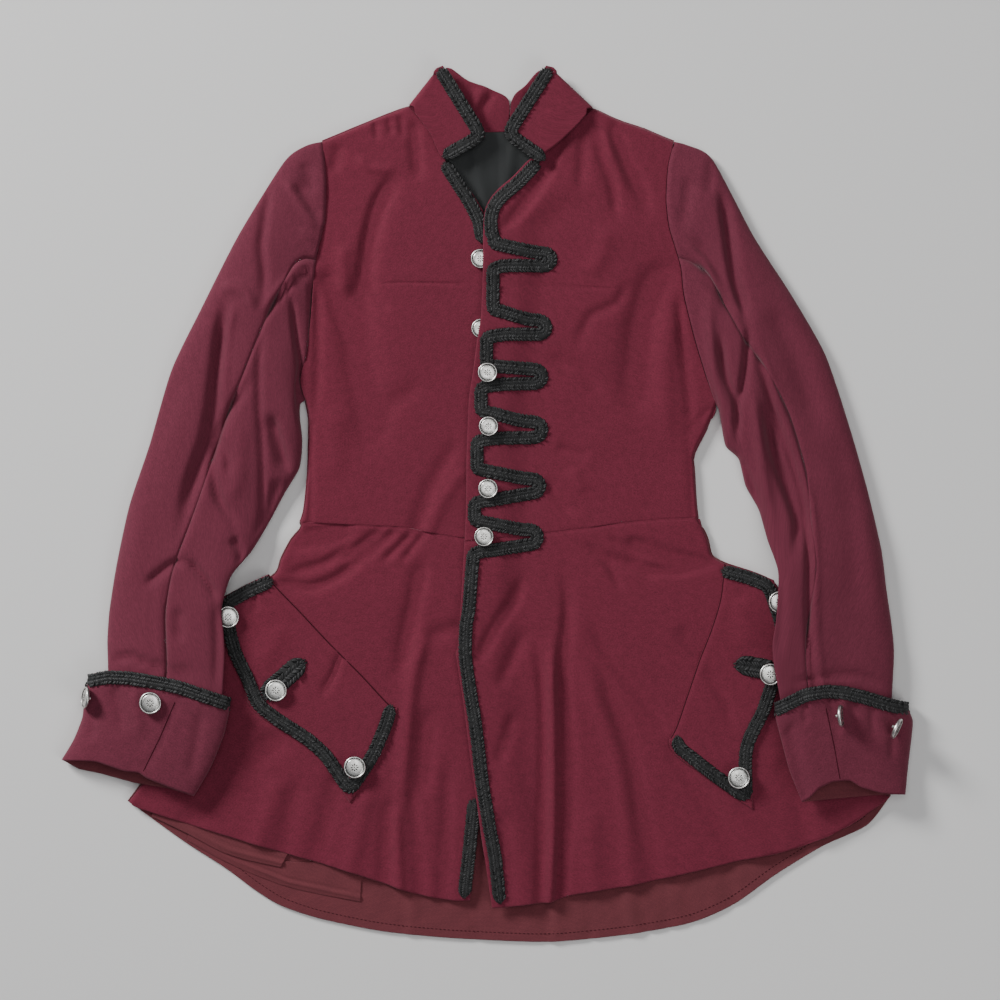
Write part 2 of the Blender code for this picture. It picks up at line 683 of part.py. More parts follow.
def sleeve_stations(table):
    """The table with a station added between each two rows."""
    rows = list(table[:3])
    for before, after in zip(table[2:], table[3:]):
        if len(rows) < 14:
            rows.append(tuple((a + b) / 2 for a, b in zip(before, after)))
        rows.append(after)
    return rows


def make_sleeve(side, table, seam_shares, armhole, wool):
    """Upper and under sleeve, parted at the front seam and at a seam underneath."""
    stations = sleeve_stations(table)
    armhole = curve_points(armhole, 97)
    shares = [row[0] for row in sleeve_stations([(share,) for share in seam_shares])]
    upper_turns = []
    under_turns = []
    for share in shares:
        seam = turn_for_share(share)
        upper_turns.append(spread(seam - SEAM_TURN, -0.25 + SEAM_TURN, 9))
        under_turns.append(spread(seam + SEAM_TURN, 0.75 - SEAM_TURN, 9))
    upper = tube_grid(stations, upper_turns, armhole, FOLLOW)
    under = tube_grid(stations, under_turns, armhole, FOLLOW)
    for name, grid in (("sleeve_%s_upper" % side, upper), ("sleeve_%s_under" % side, under)):
        wall = add_wall(name, grid, SLEEVE_WALL, wool)
        face_out(wall, stations)
    return stations


def face_out(wall, stations):
    """Turn a tube's faces outwards before its wall is made."""
    frame = bmesh.new()
    frame.from_mesh(wall.data)
    frame.normal_update()
    outward = 0.0
    for face in frame.faces:
        centre = face.calc_center_median() / MM
        station = min(stations, key=lambda row: segment_distance(centre.x, centre.y, row[:2], row[2:4])[0])
        share = segment_distance(centre.x, centre.y, station[:2], station[2:4])[1]
        lift = station[5] + (station[6] - station[5]) * share
        outward += face.normal.z * (centre.z - lift - TUBE_EDGE) * face.calc_area()
    if outward < 0:
        bmesh.ops.reverse_faces(frame, faces=frame.faces[:])
    frame.to_mesh(wall.data)
    frame.free()


def make_cuff(side, table, wool):
    """A turned back cuff, one closed band round the sleeve's end."""
    turns = [spread(0.0, 1.0 - 1 / 20, 20) for _ in table]
    grid = tube_grid(table, turns)
    wall = add_wall("cuff_%s" % side, grid, SLEEVE_WALL, wool, closed_rows=True)
    face_out(wall, table)


# The stand collar, folded flat with the neck

COLLAR_BACK_FACE = 0.2
COLLAR_FRONT_FACE = 13.6
COLLAR_WALL = 1.8
# Right half: fold line, front edge, front leaf's top and bottom, back leaf's top and bottom
COLLAR_RIGHT = (
    [(-56, 426), (-77.2, 399)],
    [(-43, 438), (-28, 412), (-12, 385), (-1, 367)],
    [(-56, 426), (-51, 433), (-43, 438)],
    [(-77.2, 399), (-57, 372), (-43.6, 346), (-22, 356.5), (-1, 367)],
    [(-56, 426), (-41, 435), (-23, 425), (-2, 418), (17, 410), (23, 404), (23.6, 394)],
    [(-77.2, 399), (-65, 384), (-40, 375), (0, 373), (23.6, 373)],
)
COLLAR_LEFT = (
    [(75, 427), (106.8, 397)],
    [(60, 438), (47, 412), (31, 388), (19, 371)],
    [(75, 427), (69, 434), (60, 438)],
    [(106.8, 397), (93, 381), (73, 362), (51, 347), (36, 357), (19, 371)],
    [(75, 427), (57, 433), (42, 420), (31, 412), (26, 404), (24.4, 394)],
    [(106.8, 397), (93, 382.6), (62, 374.5), (40, 373), (24.4, 373)],
)


def collar_grid(spec):
    """Back leaf, round side fold and front leaf as one strip."""
    fold, front_edge, front_top_edge, front_low, back_top, back_low = spec
    radius = 0.5 * (COLLAR_FRONT_FACE - COLLAR_BACK_FACE)
    rows = 6
    grid = []
    fold_line = curve_points(fold, 97)
    front = [curve_points(edge, 97) for edge in (front_top_edge, front_low, fold, front_edge)]
    back = [curve_points(edge, 97) for edge in (back_top, back_low, fold, (back_top[-1], back_low[-1]))]
    for i in range(rows):
        t = i / (rows - 1)
        start = at_share(fold_line, t)
        row = [coons(*back, 1 - k / 6, t) for k in range(6)]
        row = [point for point in row if math.dist(point, start) > radius + 1][:5]
        back_leaf = resample(row, 4)
        towards_back = Vector(back_leaf[-1]) - Vector(start)
        towards_back.normalize()
        front_leaf = [coons(*front, s, t) for s in (1, 0.8, 0.6, 0.4)]
        towards_front = Vector(front_leaf[-1]) - Vector(start)
        reach = towards_front.length
        towards_front.normalize()
        own = min(radius, 0.45 * reach)
        line = [(x, y, COLLAR_BACK_FACE) for x, y in back_leaf[:-1]]
        line.append((start[0] + towards_back.x * own, start[1] + towards_back.y * own, COLLAR_BACK_FACE))
        for step in (-45, 0, 45):
            angle = math.radians(step)
            mix = 0.5 + 0.5 * math.sin(angle)
            direction = towards_back * (1 - mix) + towards_front * mix
            inward = own * (1 - math.cos(angle))
            z = COLLAR_BACK_FACE + radius + radius * math.sin(angle)
            line.append((start[0] + direction.x * inward, start[1] + direction.y * inward, z))
        line.append((start[0] + towards_front.x * own, start[1] + towards_front.y * own, COLLAR_FRONT_FACE))
        for x, y in reversed(front_leaf):
            if math.dist((x, y), start) > own + 2:
                line.append((x, y, COLLAR_FRONT_FACE))
        while len(line) < 12:
            line.append(line[-1])
        grid.append(line)
    return grid


def make_collar(wool):
    """Both halves of the collar."""
    for name, spec in (("collar_right", COLLAR_RIGHT), ("collar_left", COLLAR_LEFT)):
        wall = add_wall(name, collar_grid(spec), COLLAR_WALL, wool)
        turn_front_up(wall)


def turn_front_up(wall):
    """The collar's faces point out: up on the front leaf, down on the back leaf."""
    frame = bmesh.new()
    frame.from_mesh(wall.data)
    frame.normal_update()
    middle = 0.5 * (COLLAR_FRONT_FACE + COLLAR_BACK_FACE) * MM
    outward = sum(f.normal.z * (f.calc_center_median().z - middle) * f.calc_area() for f in frame.faces)
    if outward < 0:
        bmesh.ops.reverse_faces(frame, faces=frame.faces[:])
    frame.to_mesh(wall.data)
    frame.free()


# Pocket flaps


def make_flaps(surfaces, wool):
    """Flaps lie on the skirt fronts."""
    made = {}
    for side, edges in (("right", (FLAP_RIGHT_TOP, FLAP_RIGHT_LOWER, FLAP_RIGHT_SEAM, FLAP_RIGHT_OUTER)),
                        ("left", (FLAP_LEFT_TOP, FLAP_LEFT_LOWER, FLAP_LEFT_SEAM, FLAP_LEFT_OUTER))):
        surface = surfaces[side]
        top = WALL * 0.9 + SHEET_LAY

        def flap_top(x, y, surface=surface, top=top):
            flat = BODY_TOP + fold_height(x, y, BODY_FOLDS)
            return max(surface.height(x, y), flat) + top

        grid = patch_grid(edges, flap_top, 6, 12)
        made[side] = grid
        add_wall("pocket_flap_%s" % side, grid, WALL * 0.9, wool)
    return made


# Braid: a flat ribbon with a domed top along a path


def round_corners(points, radius, steps=3):
    """The path with each corner turned on an arc."""
    path = [points[0]]
    for before, corner, after in zip(points, points[1:], points[2:]):
        into = Vector(before) - Vector(corner)
        out = Vector(after) - Vector(corner)
        half = max(0.5 * into.angle(out), 0.1)
        reach = min(radius / math.tan(half), 0.48 * into.length, 0.48 * out.length)
        if half > 1.5 or reach < 0.5:
            path.append(corner)
            continue
        middle = into.normalized() + out.normalized()
        centre = Vector(corner) + middle.normalized() * (reach / math.cos(half))
        start = Vector(corner) + into.normalized() * reach - centre
        end = Vector(corner) + out.normalized() * reach - centre
        for i in range(steps + 1):
            spoke = turned(start, end, start.angle(end) * i / steps)
            path.append((centre.x + spoke.x, centre.y + spoke.y))
    path.append(points[-1])
    return path


def turned(start, end, angle):
    """A spoke turned from start towards end."""
    side = 1 if start.x * end.y - start.y * end.x > 0 else -1
    cosine = math.cos(angle * side)
    sine = math.sin(angle * side)
    return Vector((start.x * cosine - start.y * sine, start.x * sine + start.y * cosine))


def toward(a, b, distance):
    """The point at a distance from a towards b."""
    share = distance / max(math.dist(a, b), 1e-9)
    return (a[0] + (b[0] - a[0]) * share, a[1] + (b[1] - a[1]) * share)


def thin_out(path, least):
    """Drop points that lie too close to the one before."""
    kept = [path[0]]
    for point in path[1:-1]:
        if math.dist(point, kept[-1]) >= least:
            kept.append(point)
    if math.dist(path[-1], kept[-1]) < least:
        kept.pop()
    kept.append(path[-1])
    return kept


def ribbon(name, path, width, surface_height, material, thick=BRAID_THICK, lay=LAY):
    """A closed ribbon along a path, with its points over the cloth's."""
    vertices = []
    count = len(path)
    for i, point in enumerate(path):
        before = path[max(i - 1, 0)]
        after = path[min(i + 1, count - 1)]
        along = Vector((after[0] - before[0], after[1] - before[1]))
        along.normalize()
        side = Vector((-along.y, along.x))
        for offset, rise in ((-0.5, 0.0), (-0.46, 0.75), (0.0, 1.0), (0.46, 0.75), (0.5, 0.0)):
            x = point[0] + side.x * width * offset
            y = point[1] + side.y * width * offset
            vertices.append((x, y, surface_height(x, y) + lay + thick * rise))
    faces = []
    size = 5
    for i in range(count - 1):
        for k in range(size):
            a = i * size + k
            b = i * size + (k + 1) % size
            faces.append((a, b, b + size, a + size))
    faces.append(tuple(range(size - 1, -1, -1)))
    faces.append(tuple(range((count - 1) * size, count * size)))
    made = add_object(name, vertices, faces, material)
    frame = bmesh.new()
    frame.from_mesh(made.data)
    bmesh.ops.recalc_face_normals(frame, faces=frame.faces[:])
    frame.to_mesh(made.data)
    frame.free()
    return made


def frog_path():
    """Down the over front's edge, out and back round each frog loop."""
    path = []
    for root, upper_root, upper_tip, tip, lower_tip, lower_root, below in FROGS:
        middle = 0.5 * (upper_tip + lower_tip)
        radius = 0.5 * (upper_tip - lower_tip)
        path += [(root, upper_root + 6), (root + 4, upper_root), (tip - radius - 12, upper_tip + 1),
                 (tip - radius, upper_tip)]
        for step in (60, 20, -20, -60):
            angle = math.radians(step)
            path.append((tip - radius + radius * math.cos(angle), middle + radius * math.sin(angle)))
        path += [(tip - radius, lower_tip), (root + 14, lower_root + 0.5), (root + 5, lower_root - 0.5),
                 (below, lower_root - 6)]
    return path


def make_braids(surfaces, flaps, gimp):
    """All braid of the fronts, collar, flaps and cuffs."""
    over = surfaces["over"].height
    under = surfaces["under"].height
    neck = curve_points(OVER_NECK_PATH, 10)
    edge = curve_points(OVER_EDGE_PATH, 24)
    path = thin_out(densify(neck + frog_path() + edge, 11), 3.2)
    ribbon("braid_front_left", path, FROG_BRAID_WIDTH, over, gimp)
    ribbon("braid_neck_right", curve_points(UNDER_NECK_PATH, 9), FROG_BRAID_WIDTH, under, gimp)
    ribbon("braid_edge_right", curve_points(UNDER_EDGE_PATH, 8), FROG_BRAID_WIDTH, under, gimp)
    collar_top = COLLAR_FRONT_FACE
    right = round_corners(COLLAR_PATH_RIGHT, CORNER_RADIUS, 5)
    left = round_corners(COLLAR_PATH_LEFT, CORNER_RADIUS, 5)
    ribbon("braid_collar_right", densify(right, 14), FROG_BRAID_WIDTH, lambda x, y: collar_top, gimp, lay=SEAM)
    ribbon("braid_collar_left", densify(left, 14), FROG_BRAID_WIDTH, lambda x, y: collar_top, gimp, lay=SEAM)
    for side, outer, lower, top, inset, tab in (
            ("right", FLAP_RIGHT_OUTER, FLAP_RIGHT_LOWER, FLAP_RIGHT_TOP, BRAID_INSET, TAB_RIGHT),
            ("left", FLAP_LEFT_OUTER, FLAP_LEFT_LOWER, FLAP_LEFT_TOP, -BRAID_INSET, TAB_LEFT)):
        surface = Surface(flaps[side])
        inside = inset_path(join(top, outer, lower[::-1]), inset)
        inside = thin_out(densify(round_corners(inside, CORNER_RADIUS, 4), 12), 3)
        ribbon("braid_flap_%s" % side, inside, FLAP_BRAID_WIDTH, surface.height, gimp)
        ribbon("braid_tab_%s" % side, densify(tab, 10), TAB_WIDTH, surface.height, gimp)


def densify(path, step):
    """Add points so that none are further apart than a step."""
    result = [path[0]]
    for a, b in zip(path, path[1:]):
        count = max(int(math.ceil(math.dist(a, b) / step)), 1)
        for i in range(1, count + 1):
            result.append((a[0] + (b[0] - a[0]) * i / count, a[1] + (b[1] - a[1]) * i / count))
    return result


def inset_path(path, distance):
    """The path moved to its right by a distance, with mitred corners."""
    moved = []
    last = len(path) - 1
    for i, point in enumerate(path):
        before = path[max(i - 1, 0)]
        after = path[min(i + 1, last)]
        first = Vector((point[0] - before[0], point[1] - before[1]))
        second = Vector((after[0] - point[0], after[1] - point[1]))
        if first.length == 0:
            first = second.copy()
        if second.length == 0:
            second = first.copy()
        first.normalize()
        second.normalize()
        normal = Vector((-first.y - second.y, first.x + second.x))
        normal.normalize()
        own = Vector((-first.y, first.x))
        stretch = distance / max(normal.dot(own), 0.5)
        moved.append((point[0] + normal.x * stretch, point[1] + normal.y * stretch))
    return moved


def make_cuff_braids(gimp):
    """A band of braid round the top of each cuff, closed on itself."""
    for side, table in (("right", CUFF_RIGHT), ("left", CUFF_LEFT)):
        rows = []
        for share, grow in ((0.02, 0.6), (0.04, 2.1), (0.36, 2.5), (0.66, 2.1), (0.68, 0.6)):
            station = tuple(a + (b - a) * share for a, b in zip(table[0], table[1]))
            rows.append([tube_point(station, turn, grow) for turn in spread(0.0, 1 - 1 / 20, 20)])
        vertices = [point for row in rows for point in row]
        faces = []
        for r in range(5):
            for c in range(20):
                a = r * 20 + c
                b = r * 20 + (c + 1) % 20
                d = ((r + 1) % 5) * 20
                faces.append((a, b, d + (c + 1) % 20, d + c))
        made = add_object("braid_cuff_%s" % side, vertices, faces, gimp)
        frame = bmesh.new()
        frame.from_mesh(made.data)
        bmesh.ops.recalc_face_normals(frame, faces=frame.faces[:])
        frame.to_mesh(made.data)
        frame.free()


# Buttons: a domed disc with a raised rim

BUTTON_PROFILE = [(0.0, 0.0), (0.46, 0.0), (0.5, 0.4), (0.44, 1.0), (0.34, 0.72), (0.0, 0.8)]


def make_button(name, place, diameter, silver, facing=(0.0, 0.0, 1.0)):
    """One turned button, lying on what carries it."""
    rows = []
    sides = 12
    for radius, rise in BUTTON_PROFILE[1:-1]:
        rows.append([(radius * diameter * math.cos(2 * math.pi * k / sides),
                      radius * diameter * math.sin(2 * math.pi * k / sides), rise * BUTTON_THICK)
                     for k in range(sides)])
    vertices, faces = grid_mesh(rows, closed_rows=True)
    faces.append(tuple(range(sides)))
    faces.append(tuple(range(len(vertices) - sides, len(vertices))))
    made = add_object(name, vertices, faces, silver)
    frame = bmesh.new()
    frame.from_mesh(made.data)
    bmesh.ops.recalc_face_normals(frame, faces=frame.faces[:])
    frame.to_mesh(made.data)
    frame.free()
    made.location = Vector(place) * MM
    made.rotation_euler = Vector(facing).to_track_quat("Z", "Y").to_euler()
    return made


def highest_under(height, x, y, reach):
    """The greatest height under a disc."""
    return max(height(x + dx, y + dy)
               for dx, dy in ((0, 0), (reach, 0), (-reach, 0), (0, reach), (0, -reach)))


def make_buttons(surfaces, flaps, silver):
    """All sixteen buttons as they lie."""
    for i, (x, y) in enumerate(FRONT_BUTTONS):
        hidden = i < 2
        height = surfaces["under" if hidden else "over"].height
        base = highest_under(height, x, y, FRONT_BUTTON * 0.5) + LAY
        base += 0.0 if hidden else BRAID_THICK + 0.3
        make_button("button_front_%d" % (i + 1), (x, y, base), FRONT_BUTTON, silver)
    for side, places in (("right", FLAP_RIGHT_BUTTONS), ("left", FLAP_LEFT_BUTTONS)):
        height = Surface(flaps[side]).height
        for i, (x, y) in enumerate(places):
            base = highest_under(height, x, y, SIDE_BUTTON * 0.4) + LAY + BRAID_THICK + 0.3
            make_button("button_flap_%s_%d" % (side, i + 1), (x, y, base), SIDE_BUTTON, silver)


def make_cuff_buttons(silver):
    """Two buttons on each cuff: one on top and one over its outer edge."""
    for side, table, places, outer in (("right", CUFF_RIGHT, CUFF_RIGHT_BUTTONS, 1),
                                       ("left", CUFF_LEFT, CUFF_LEFT_BUTTONS, -1)):
        for i, (share, lift) in enumerate(places):
            station = table[1] if i == 0 else table[2]
            turn = turn_for_share(share)
            low = Vector(tube_point(station, turn - 0.01))
            high = Vector(tube_point(station, turn + 0.01))
            across = high - low
            facing = Vector((-across.z * outer, 0.0, abs(across.x))) if i else Vector((0, 0, 1))
            facing.normalize()
            place = Vector(tube_point(station, turn)) + facing * lift
            make_button("button_cuff_%s_%d" % (side, i + 1), place, SIDE_BUTTON, silver, facing)


clear_scene()
PARTS = bpy.data.collections.new(NAME)
bpy.context.scene.collection.children.link(PARTS)

front_grids = make_fronts()
make_back()
sleeve_wool = make_material("wool_sleeve", WOOL, 0.85, 0.0)
make_sleeve("right", SLEEVE_RIGHT, SLEEVE_SEAM_RIGHT, ARMHOLE_RIGHT, sleeve_wool)
make_sleeve("left", SLEEVE_LEFT, SLEEVE_SEAM_LEFT, ARMHOLE_LEFT, sleeve_wool)
make_cuff("right", CUFF_RIGHT, sleeve_wool)
make_cuff("left", CUFF_LEFT, sleeve_wool)
make_collar(make_material("wool_collar", WOOL, 0.85, 0.0))
surface_of = {
    "right": Surface(front_grids["front_skirt_right"]),
    "left": Surface(front_grids["front_skirt_left"]),
    "under": Surface(front_grids["front_bodice_right"], front_grids["front_skirt_right"]),
    "over": Surface(front_grids["front_bodice_left"], front_grids["front_skirt_left"]),
}
flap_grids = make_flaps(surface_of, make_material("wool_flap", WOOL, 0.85, 0.0))
gimp_material = make_material("gimp_braid", GIMP, 0.7, 0.0)
make_braids(surface_of, flap_grids, gimp_material)
make_cuff_braids(gimp_material)
silver_material = make_material("antique_silver", SILVER, 0.35, 1.0)
make_buttons(surface_of, flap_grids, silver_material)
make_cuff_buttons(silver_material)
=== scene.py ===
# %% [markdown]
# # A napoleon jacket, laid flat
# A fitted jacket of burgundy wool with a stand collar, black gimp braid laid on in frog loops, pressed
# metal buttons, pocket flaps and turned back cuffs. It lies on its back, seen from straight above. Each
# piece of cloth is built here as its pattern piece: four edges give the outline, a grid fills it, and a
# table of folds, each a line with a height and a width, gives the lie of the cloth.

# %% Load the frame
import math
import bmesh
import bpy
import numpy as np
from mathutils import Matrix, Vector
from mathutils.bvhtree import BVHTree


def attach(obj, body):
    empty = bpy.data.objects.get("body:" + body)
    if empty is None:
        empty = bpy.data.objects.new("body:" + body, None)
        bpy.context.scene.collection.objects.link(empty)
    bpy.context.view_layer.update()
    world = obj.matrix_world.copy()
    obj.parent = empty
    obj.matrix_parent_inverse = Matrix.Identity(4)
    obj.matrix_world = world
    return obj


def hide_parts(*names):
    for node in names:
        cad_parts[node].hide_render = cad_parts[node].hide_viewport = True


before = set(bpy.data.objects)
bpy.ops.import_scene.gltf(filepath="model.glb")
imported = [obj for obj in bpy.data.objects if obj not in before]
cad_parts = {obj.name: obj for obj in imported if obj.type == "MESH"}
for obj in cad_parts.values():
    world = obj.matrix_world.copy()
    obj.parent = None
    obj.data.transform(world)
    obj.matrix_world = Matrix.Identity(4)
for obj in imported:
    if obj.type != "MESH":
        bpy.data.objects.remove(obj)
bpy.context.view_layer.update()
MM = 0.001

# %% [markdown]
# ## The camera and the light
# The jacket was photographed from straight above, so a long lens looks down from three metres. The view
# takes in one metre, at one millimetre a pixel. A broad lamp at the upper left models the folds, and
# weaker ones from the other sides keep the shadows soft, as in a product photograph.

# %% A helper for new objects
def link(name, data):
    """A new object in the scene, at the origin."""
    made = bpy.data.objects.new(name, data)
    bpy.context.scene.collection.objects.link(made)
    return made


# %% Camera
CAMERA_HEIGHT = 3.0
VIEW_WIDTH = 1.0
FACE_HEIGHT = 0.01
SENSOR_WIDTH = 36
camera = link("camera", bpy.data.cameras.new("camera"))
camera.data.lens = SENSOR_WIDTH * (CAMERA_HEIGHT - FACE_HEIGHT) / VIEW_WIDTH
camera.location = (0.014, 0.004, CAMERA_HEIGHT)
bpy.context.scene.camera = camera
print("camera: lens %.1f mm" % camera.data.lens)


# %% Lamps and the room
def add_lamp(name, place, size, power):
    """A square area lamp that looks at the middle of the jacket."""
    lamp = link(name, bpy.data.lights.new(name, "AREA"))
    lamp.data.size = size
    lamp.data.energy = power
    lamp.location = place
    lamp.rotation_euler = (-Vector(place)).to_track_quat("-Z", "Y").to_euler()


add_lamp("key_lamp", (-2.9, 2.5, 1.9), 1.1, 235)
add_lamp("fill_lamp", (1.7, -1.5, 1.9), 1.4, 20)
add_lamp("top_lamp", (0.1, 0.3, 2.7), 1.7, 22)
room = bpy.data.worlds.new("room")
room.use_nodes = True
room.node_tree.nodes["Background"].inputs["Color"].default_value = (0.9, 0.93, 1.0, 1)
room.node_tree.nodes["Background"].inputs["Strength"].default_value = 0.16
bpy.context.scene.world = room
print("lamps: 3")

# %% [markdown]
# ## Finishes
# Wool cloth is matt and slightly hairy. Close to, it shows fine yarns; from arm's length, only small
# cloudy changes of tone. Both come from one node group, which turns the cloth's own UV map, in metres
# along the yarns, into a tone and a height. Each cloth then has its own colours. The shader stays in the
# material, so that its sheen is a plain number.


# %% Helpers for node trees
def put(tree, kind, inputs=None, **settings):
    """Add a node, set its properties, and set or link its inputs by name or number."""
    made = tree.nodes.new(kind)
    for key, value in settings.items():
        setattr(made, key, value)
    for key, value in (inputs or {}).items():
        if isinstance(value, bpy.types.NodeSocket):
            tree.links.new(value, made.inputs[key])
        else:
            made.inputs[key].default_value = value
    return made


def new_tree(name, kind, inputs, outputs):
    """A node group with named sockets: inputs as name, type and start value, outputs as name and type."""
    tree = bpy.data.node_groups.new(name, kind)
    for socket, socket_type, start in inputs:
        made = tree.interface.new_socket(socket, in_out="INPUT", socket_type="NodeSocket" + socket_type)
        if start is not None:
            made.default_value = start
    for socket, socket_type in outputs:
        tree.interface.new_socket(socket, in_out="OUTPUT", socket_type="NodeSocket" + socket_type)
    return tree


# %% The weave, as a node group
# At scale 1 a wave texture repeats every 0.314 (2 pi / 20) metres
WAVE_LENGTH = 0.314
weave = new_tree("weave_and_nap", "ShaderNodeTree",
                 [("Yarn pitch", "Float", 0.0011), ("Cloud size", "Float", 0.02), ("Nap", "Float", 0.5)],
                 [("Tone", "Float"), ("Height", "Float")])
asked = put(weave, "NodeGroupInput").outputs
lie_of_yarn = put(weave, "ShaderNodeTexCoord").outputs["UV"]
per_metre = put(weave, "ShaderNodeMath", {0: WAVE_LENGTH, 1: asked["Yarn pitch"]},
                operation="DIVIDE").outputs[0]
warp, weft = (put(weave, "ShaderNodeTexWave", {"Vector": lie_of_yarn, "Scale": per_metre, "Distortion": 1.2,
                                               "Detail": 2.0, "Detail Scale": 3.0},
                  bands_direction=way).outputs["Fac"] for way in "XY")
hair = put(weave, "ShaderNodeTexNoise", {"Vector": lie_of_yarn, "Scale": 620.0, "Detail": 4.0,
                                         "Roughness": 0.65}).outputs["Fac"]
per_cloud = put(weave, "ShaderNodeMath", {0: 1.0, 1: asked["Cloud size"]}, operation="DIVIDE").outputs[0]
cloud = put(weave, "ShaderNodeTexNoise", {"Vector": lie_of_yarn, "Scale": per_cloud, "Detail": 5.0,
                                          "Roughness": 0.6}).outputs["Fac"]
yarns = put(weave, "ShaderNodeMath", {0: warp, 1: weft}, operation="MULTIPLY").outputs[0]
fuzz = put(weave, "ShaderNodeMix", {"Factor": asked["Nap"], 2: yarns, 3: hair}, data_type="FLOAT").outputs[0]
tone = put(weave, "ShaderNodeMix", {"Factor": 0.72, 2: cloud, 3: fuzz}, data_type="FLOAT").outputs[0]
put(weave, "NodeGroupOutput", {"Tone": tone, "Height": fuzz})
print("node group:", weave.name)


# %% Cloth materials
def cloth_finish(name, dark, light, pitch, cloud_size, nap, rough, sheen, depth):
    """A cloth whose tone runs from dark to light with the weave."""
    finish = bpy.data.materials.new(name)
    finish.use_nodes = True
    tree = finish.node_tree
    shader = tree.nodes["Principled BSDF"]
    woven = put(tree, "ShaderNodeGroup", node_tree=weave)
    woven.inputs["Yarn pitch"].default_value = pitch
    woven.inputs["Cloud size"].default_value = cloud_size
    woven.inputs["Nap"].default_value = nap
    spread = put(tree, "ShaderNodeMapRange", {"Value": woven.outputs["Tone"], 1: 0.3, 2: 0.7}).outputs[0]
    colour = put(tree, "ShaderNodeMix", {"Factor": spread, 6: (*dark, 1), 7: (*light, 1)}, data_type="RGBA")
    roughness = put(tree, "ShaderNodeMapRange", {"Value": woven.outputs["Tone"],
                                                 3: rough + 0.06, 4: rough - 0.06})
    bump = put(tree, "ShaderNodeBump", {"Height": woven.outputs["Height"], "Strength": 0.45,
                                        "Distance": depth})
    tree.links.new(colour.outputs[2], shader.inputs["Base Color"])
    tree.links.new(roughness.outputs[0], shader.inputs["Roughness"])
    tree.links.new(bump.outputs[0], shader.inputs["Normal"])
    shader.inputs["Sheen Weight"].default_value = sheen
    shader.inputs["Sheen Roughness"].default_value = 0.55
    shader.inputs["Sheen Tint"].default_value = (light[0] + 0.3, light[1] + 0.3, light[2] + 0.3, 1)
    shader.inputs["Specular IOR Level"].default_value = 0.25
    return finish


burgundy_wool = cloth_finish("burgundy_wool", (0.084, 0.0065, 0.018), (0.186, 0.017, 0.042), 0.0011, 0.007,
                             0.9, 0.86, 0.25, 0.0005)
sleeve_wool = cloth_finish("sleeve_wool", (0.077, 0.009, 0.021), (0.168, 0.023, 0.048), 0.0011, 0.007,
                           0.9, 0.86, 0.28, 0.0005)
inside_wool = cloth_finish("inside_wool", (0.100, 0.021, 0.028), (0.190, 0.040, 0.050), 0.0013, 0.02,
                           0.5, 0.88, 0.2, 0.0005)
satin_lining = cloth_finish("satin_lining", (0.013, 0.0145, 0.0145), (0.026, 0.028, 0.028), 0.0006, 0.05,
                            0.25, 0.5, 0.1, 0.0002)
print("cloths: wool, sleeve wool, inside wool, lining")

# %% [markdown]
# Gimp braid is plaited from shiny black yarn over a flat core, so it is nearly black; its grey glints are
# painted highlights, lighter spots in its colour beside real changes of roughness.
# The buttons are pressed metal with an aged silver plating that has worn bright on the rim and stayed
# dark in the hollows. Both use noise on Object coordinates, since neither follows a weave.


# %% Gimp and metal
def spotted_finish(name, dark, light, scale, metal, rough_from, rough_to, bump_depth):
    """A finish whose colour and roughness change in small spots."""
    finish = bpy.data.materials.new(name)
    finish.use_nodes = True
    tree = finish.node_tree
    shader = tree.nodes["Principled BSDF"]
    where = put(tree, "ShaderNodeTexCoord").outputs["Object"]
    spots = put(tree, "ShaderNodeTexNoise", {"Vector": where, "Scale": scale, "Detail": 4.0,
                                             "Roughness": 0.6}).outputs["Fac"]
    share = put(tree, "ShaderNodeMapRange", {"Value": spots, 1: 0.38, 2: 0.66}).outputs[0]
    colour = put(tree, "ShaderNodeMix", {"Factor": share, 6: (*dark, 1), 7: (*light, 1)}, data_type="RGBA")
    rough = put(tree, "ShaderNodeMapRange", {"Value": spots, 3: rough_from, 4: rough_to})
    bump = put(tree, "ShaderNodeBump", {"Height": spots, "Strength": 0.4, "Distance": bump_depth})
    tree.links.new(colour.outputs[2], shader.inputs["Base Color"])
    tree.links.new(rough.outputs[0], shader.inputs["Roughness"])
    tree.links.new(bump.outputs[0], shader.inputs["Normal"])
    shader.inputs["Metallic"].default_value = metal
    return finish


# The gimp's lighter spot colour is painted glints; its roughness changes in the same spots are real.
black_gimp = spotted_finish("black_gimp", (0.004, 0.004, 0.004), (0.017, 0.017, 0.018), 900.0, 0.0,
                            0.75, 0.45, 0.0003)
gimp_core = spotted_finish("gimp_core", (0.005, 0.005, 0.005), (0.010, 0.010, 0.010), 700.0, 0.0,
                           0.9, 0.8, 0.0002)
aged_silver = spotted_finish("aged_silver", (0.52, 0.51, 0.48), (0.80, 0.79, 0.76), 260.0, 1.0,
                             0.42, 0.26, 0.0001)
dark_hollow = spotted_finish("dark_hollow", (0.012, 0.012, 0.011), (0.04, 0.038, 0.034), 500.0, 0.2,
                             0.6, 0.5, 0.0001)
print("finishes: gimp, silver")

# %% [markdown]
# ## From a pattern's points to a surface
# A pattern piece is drawn with few points, and a soft curve runs through them. A patch between four such
# edges is filled with the Coons rule: straight lines across, plus straight lines down, less what was
# counted twice. It follows the edges exactly, which lets neighbouring pieces meet without a gap.


# %% Curves and patches
def even(line, count):
    """A polyline's evenly spaced points, measured by its first two columns."""
    steps = np.hypot(*np.diff(line[:, :2], axis=0).T)
    run = np.concatenate([[0], np.cumsum(steps)])
    places = np.linspace(0, run[-1], count)
    return np.column_stack([np.interp(places, run, line[:, c]) for c in range(line.shape[1])])


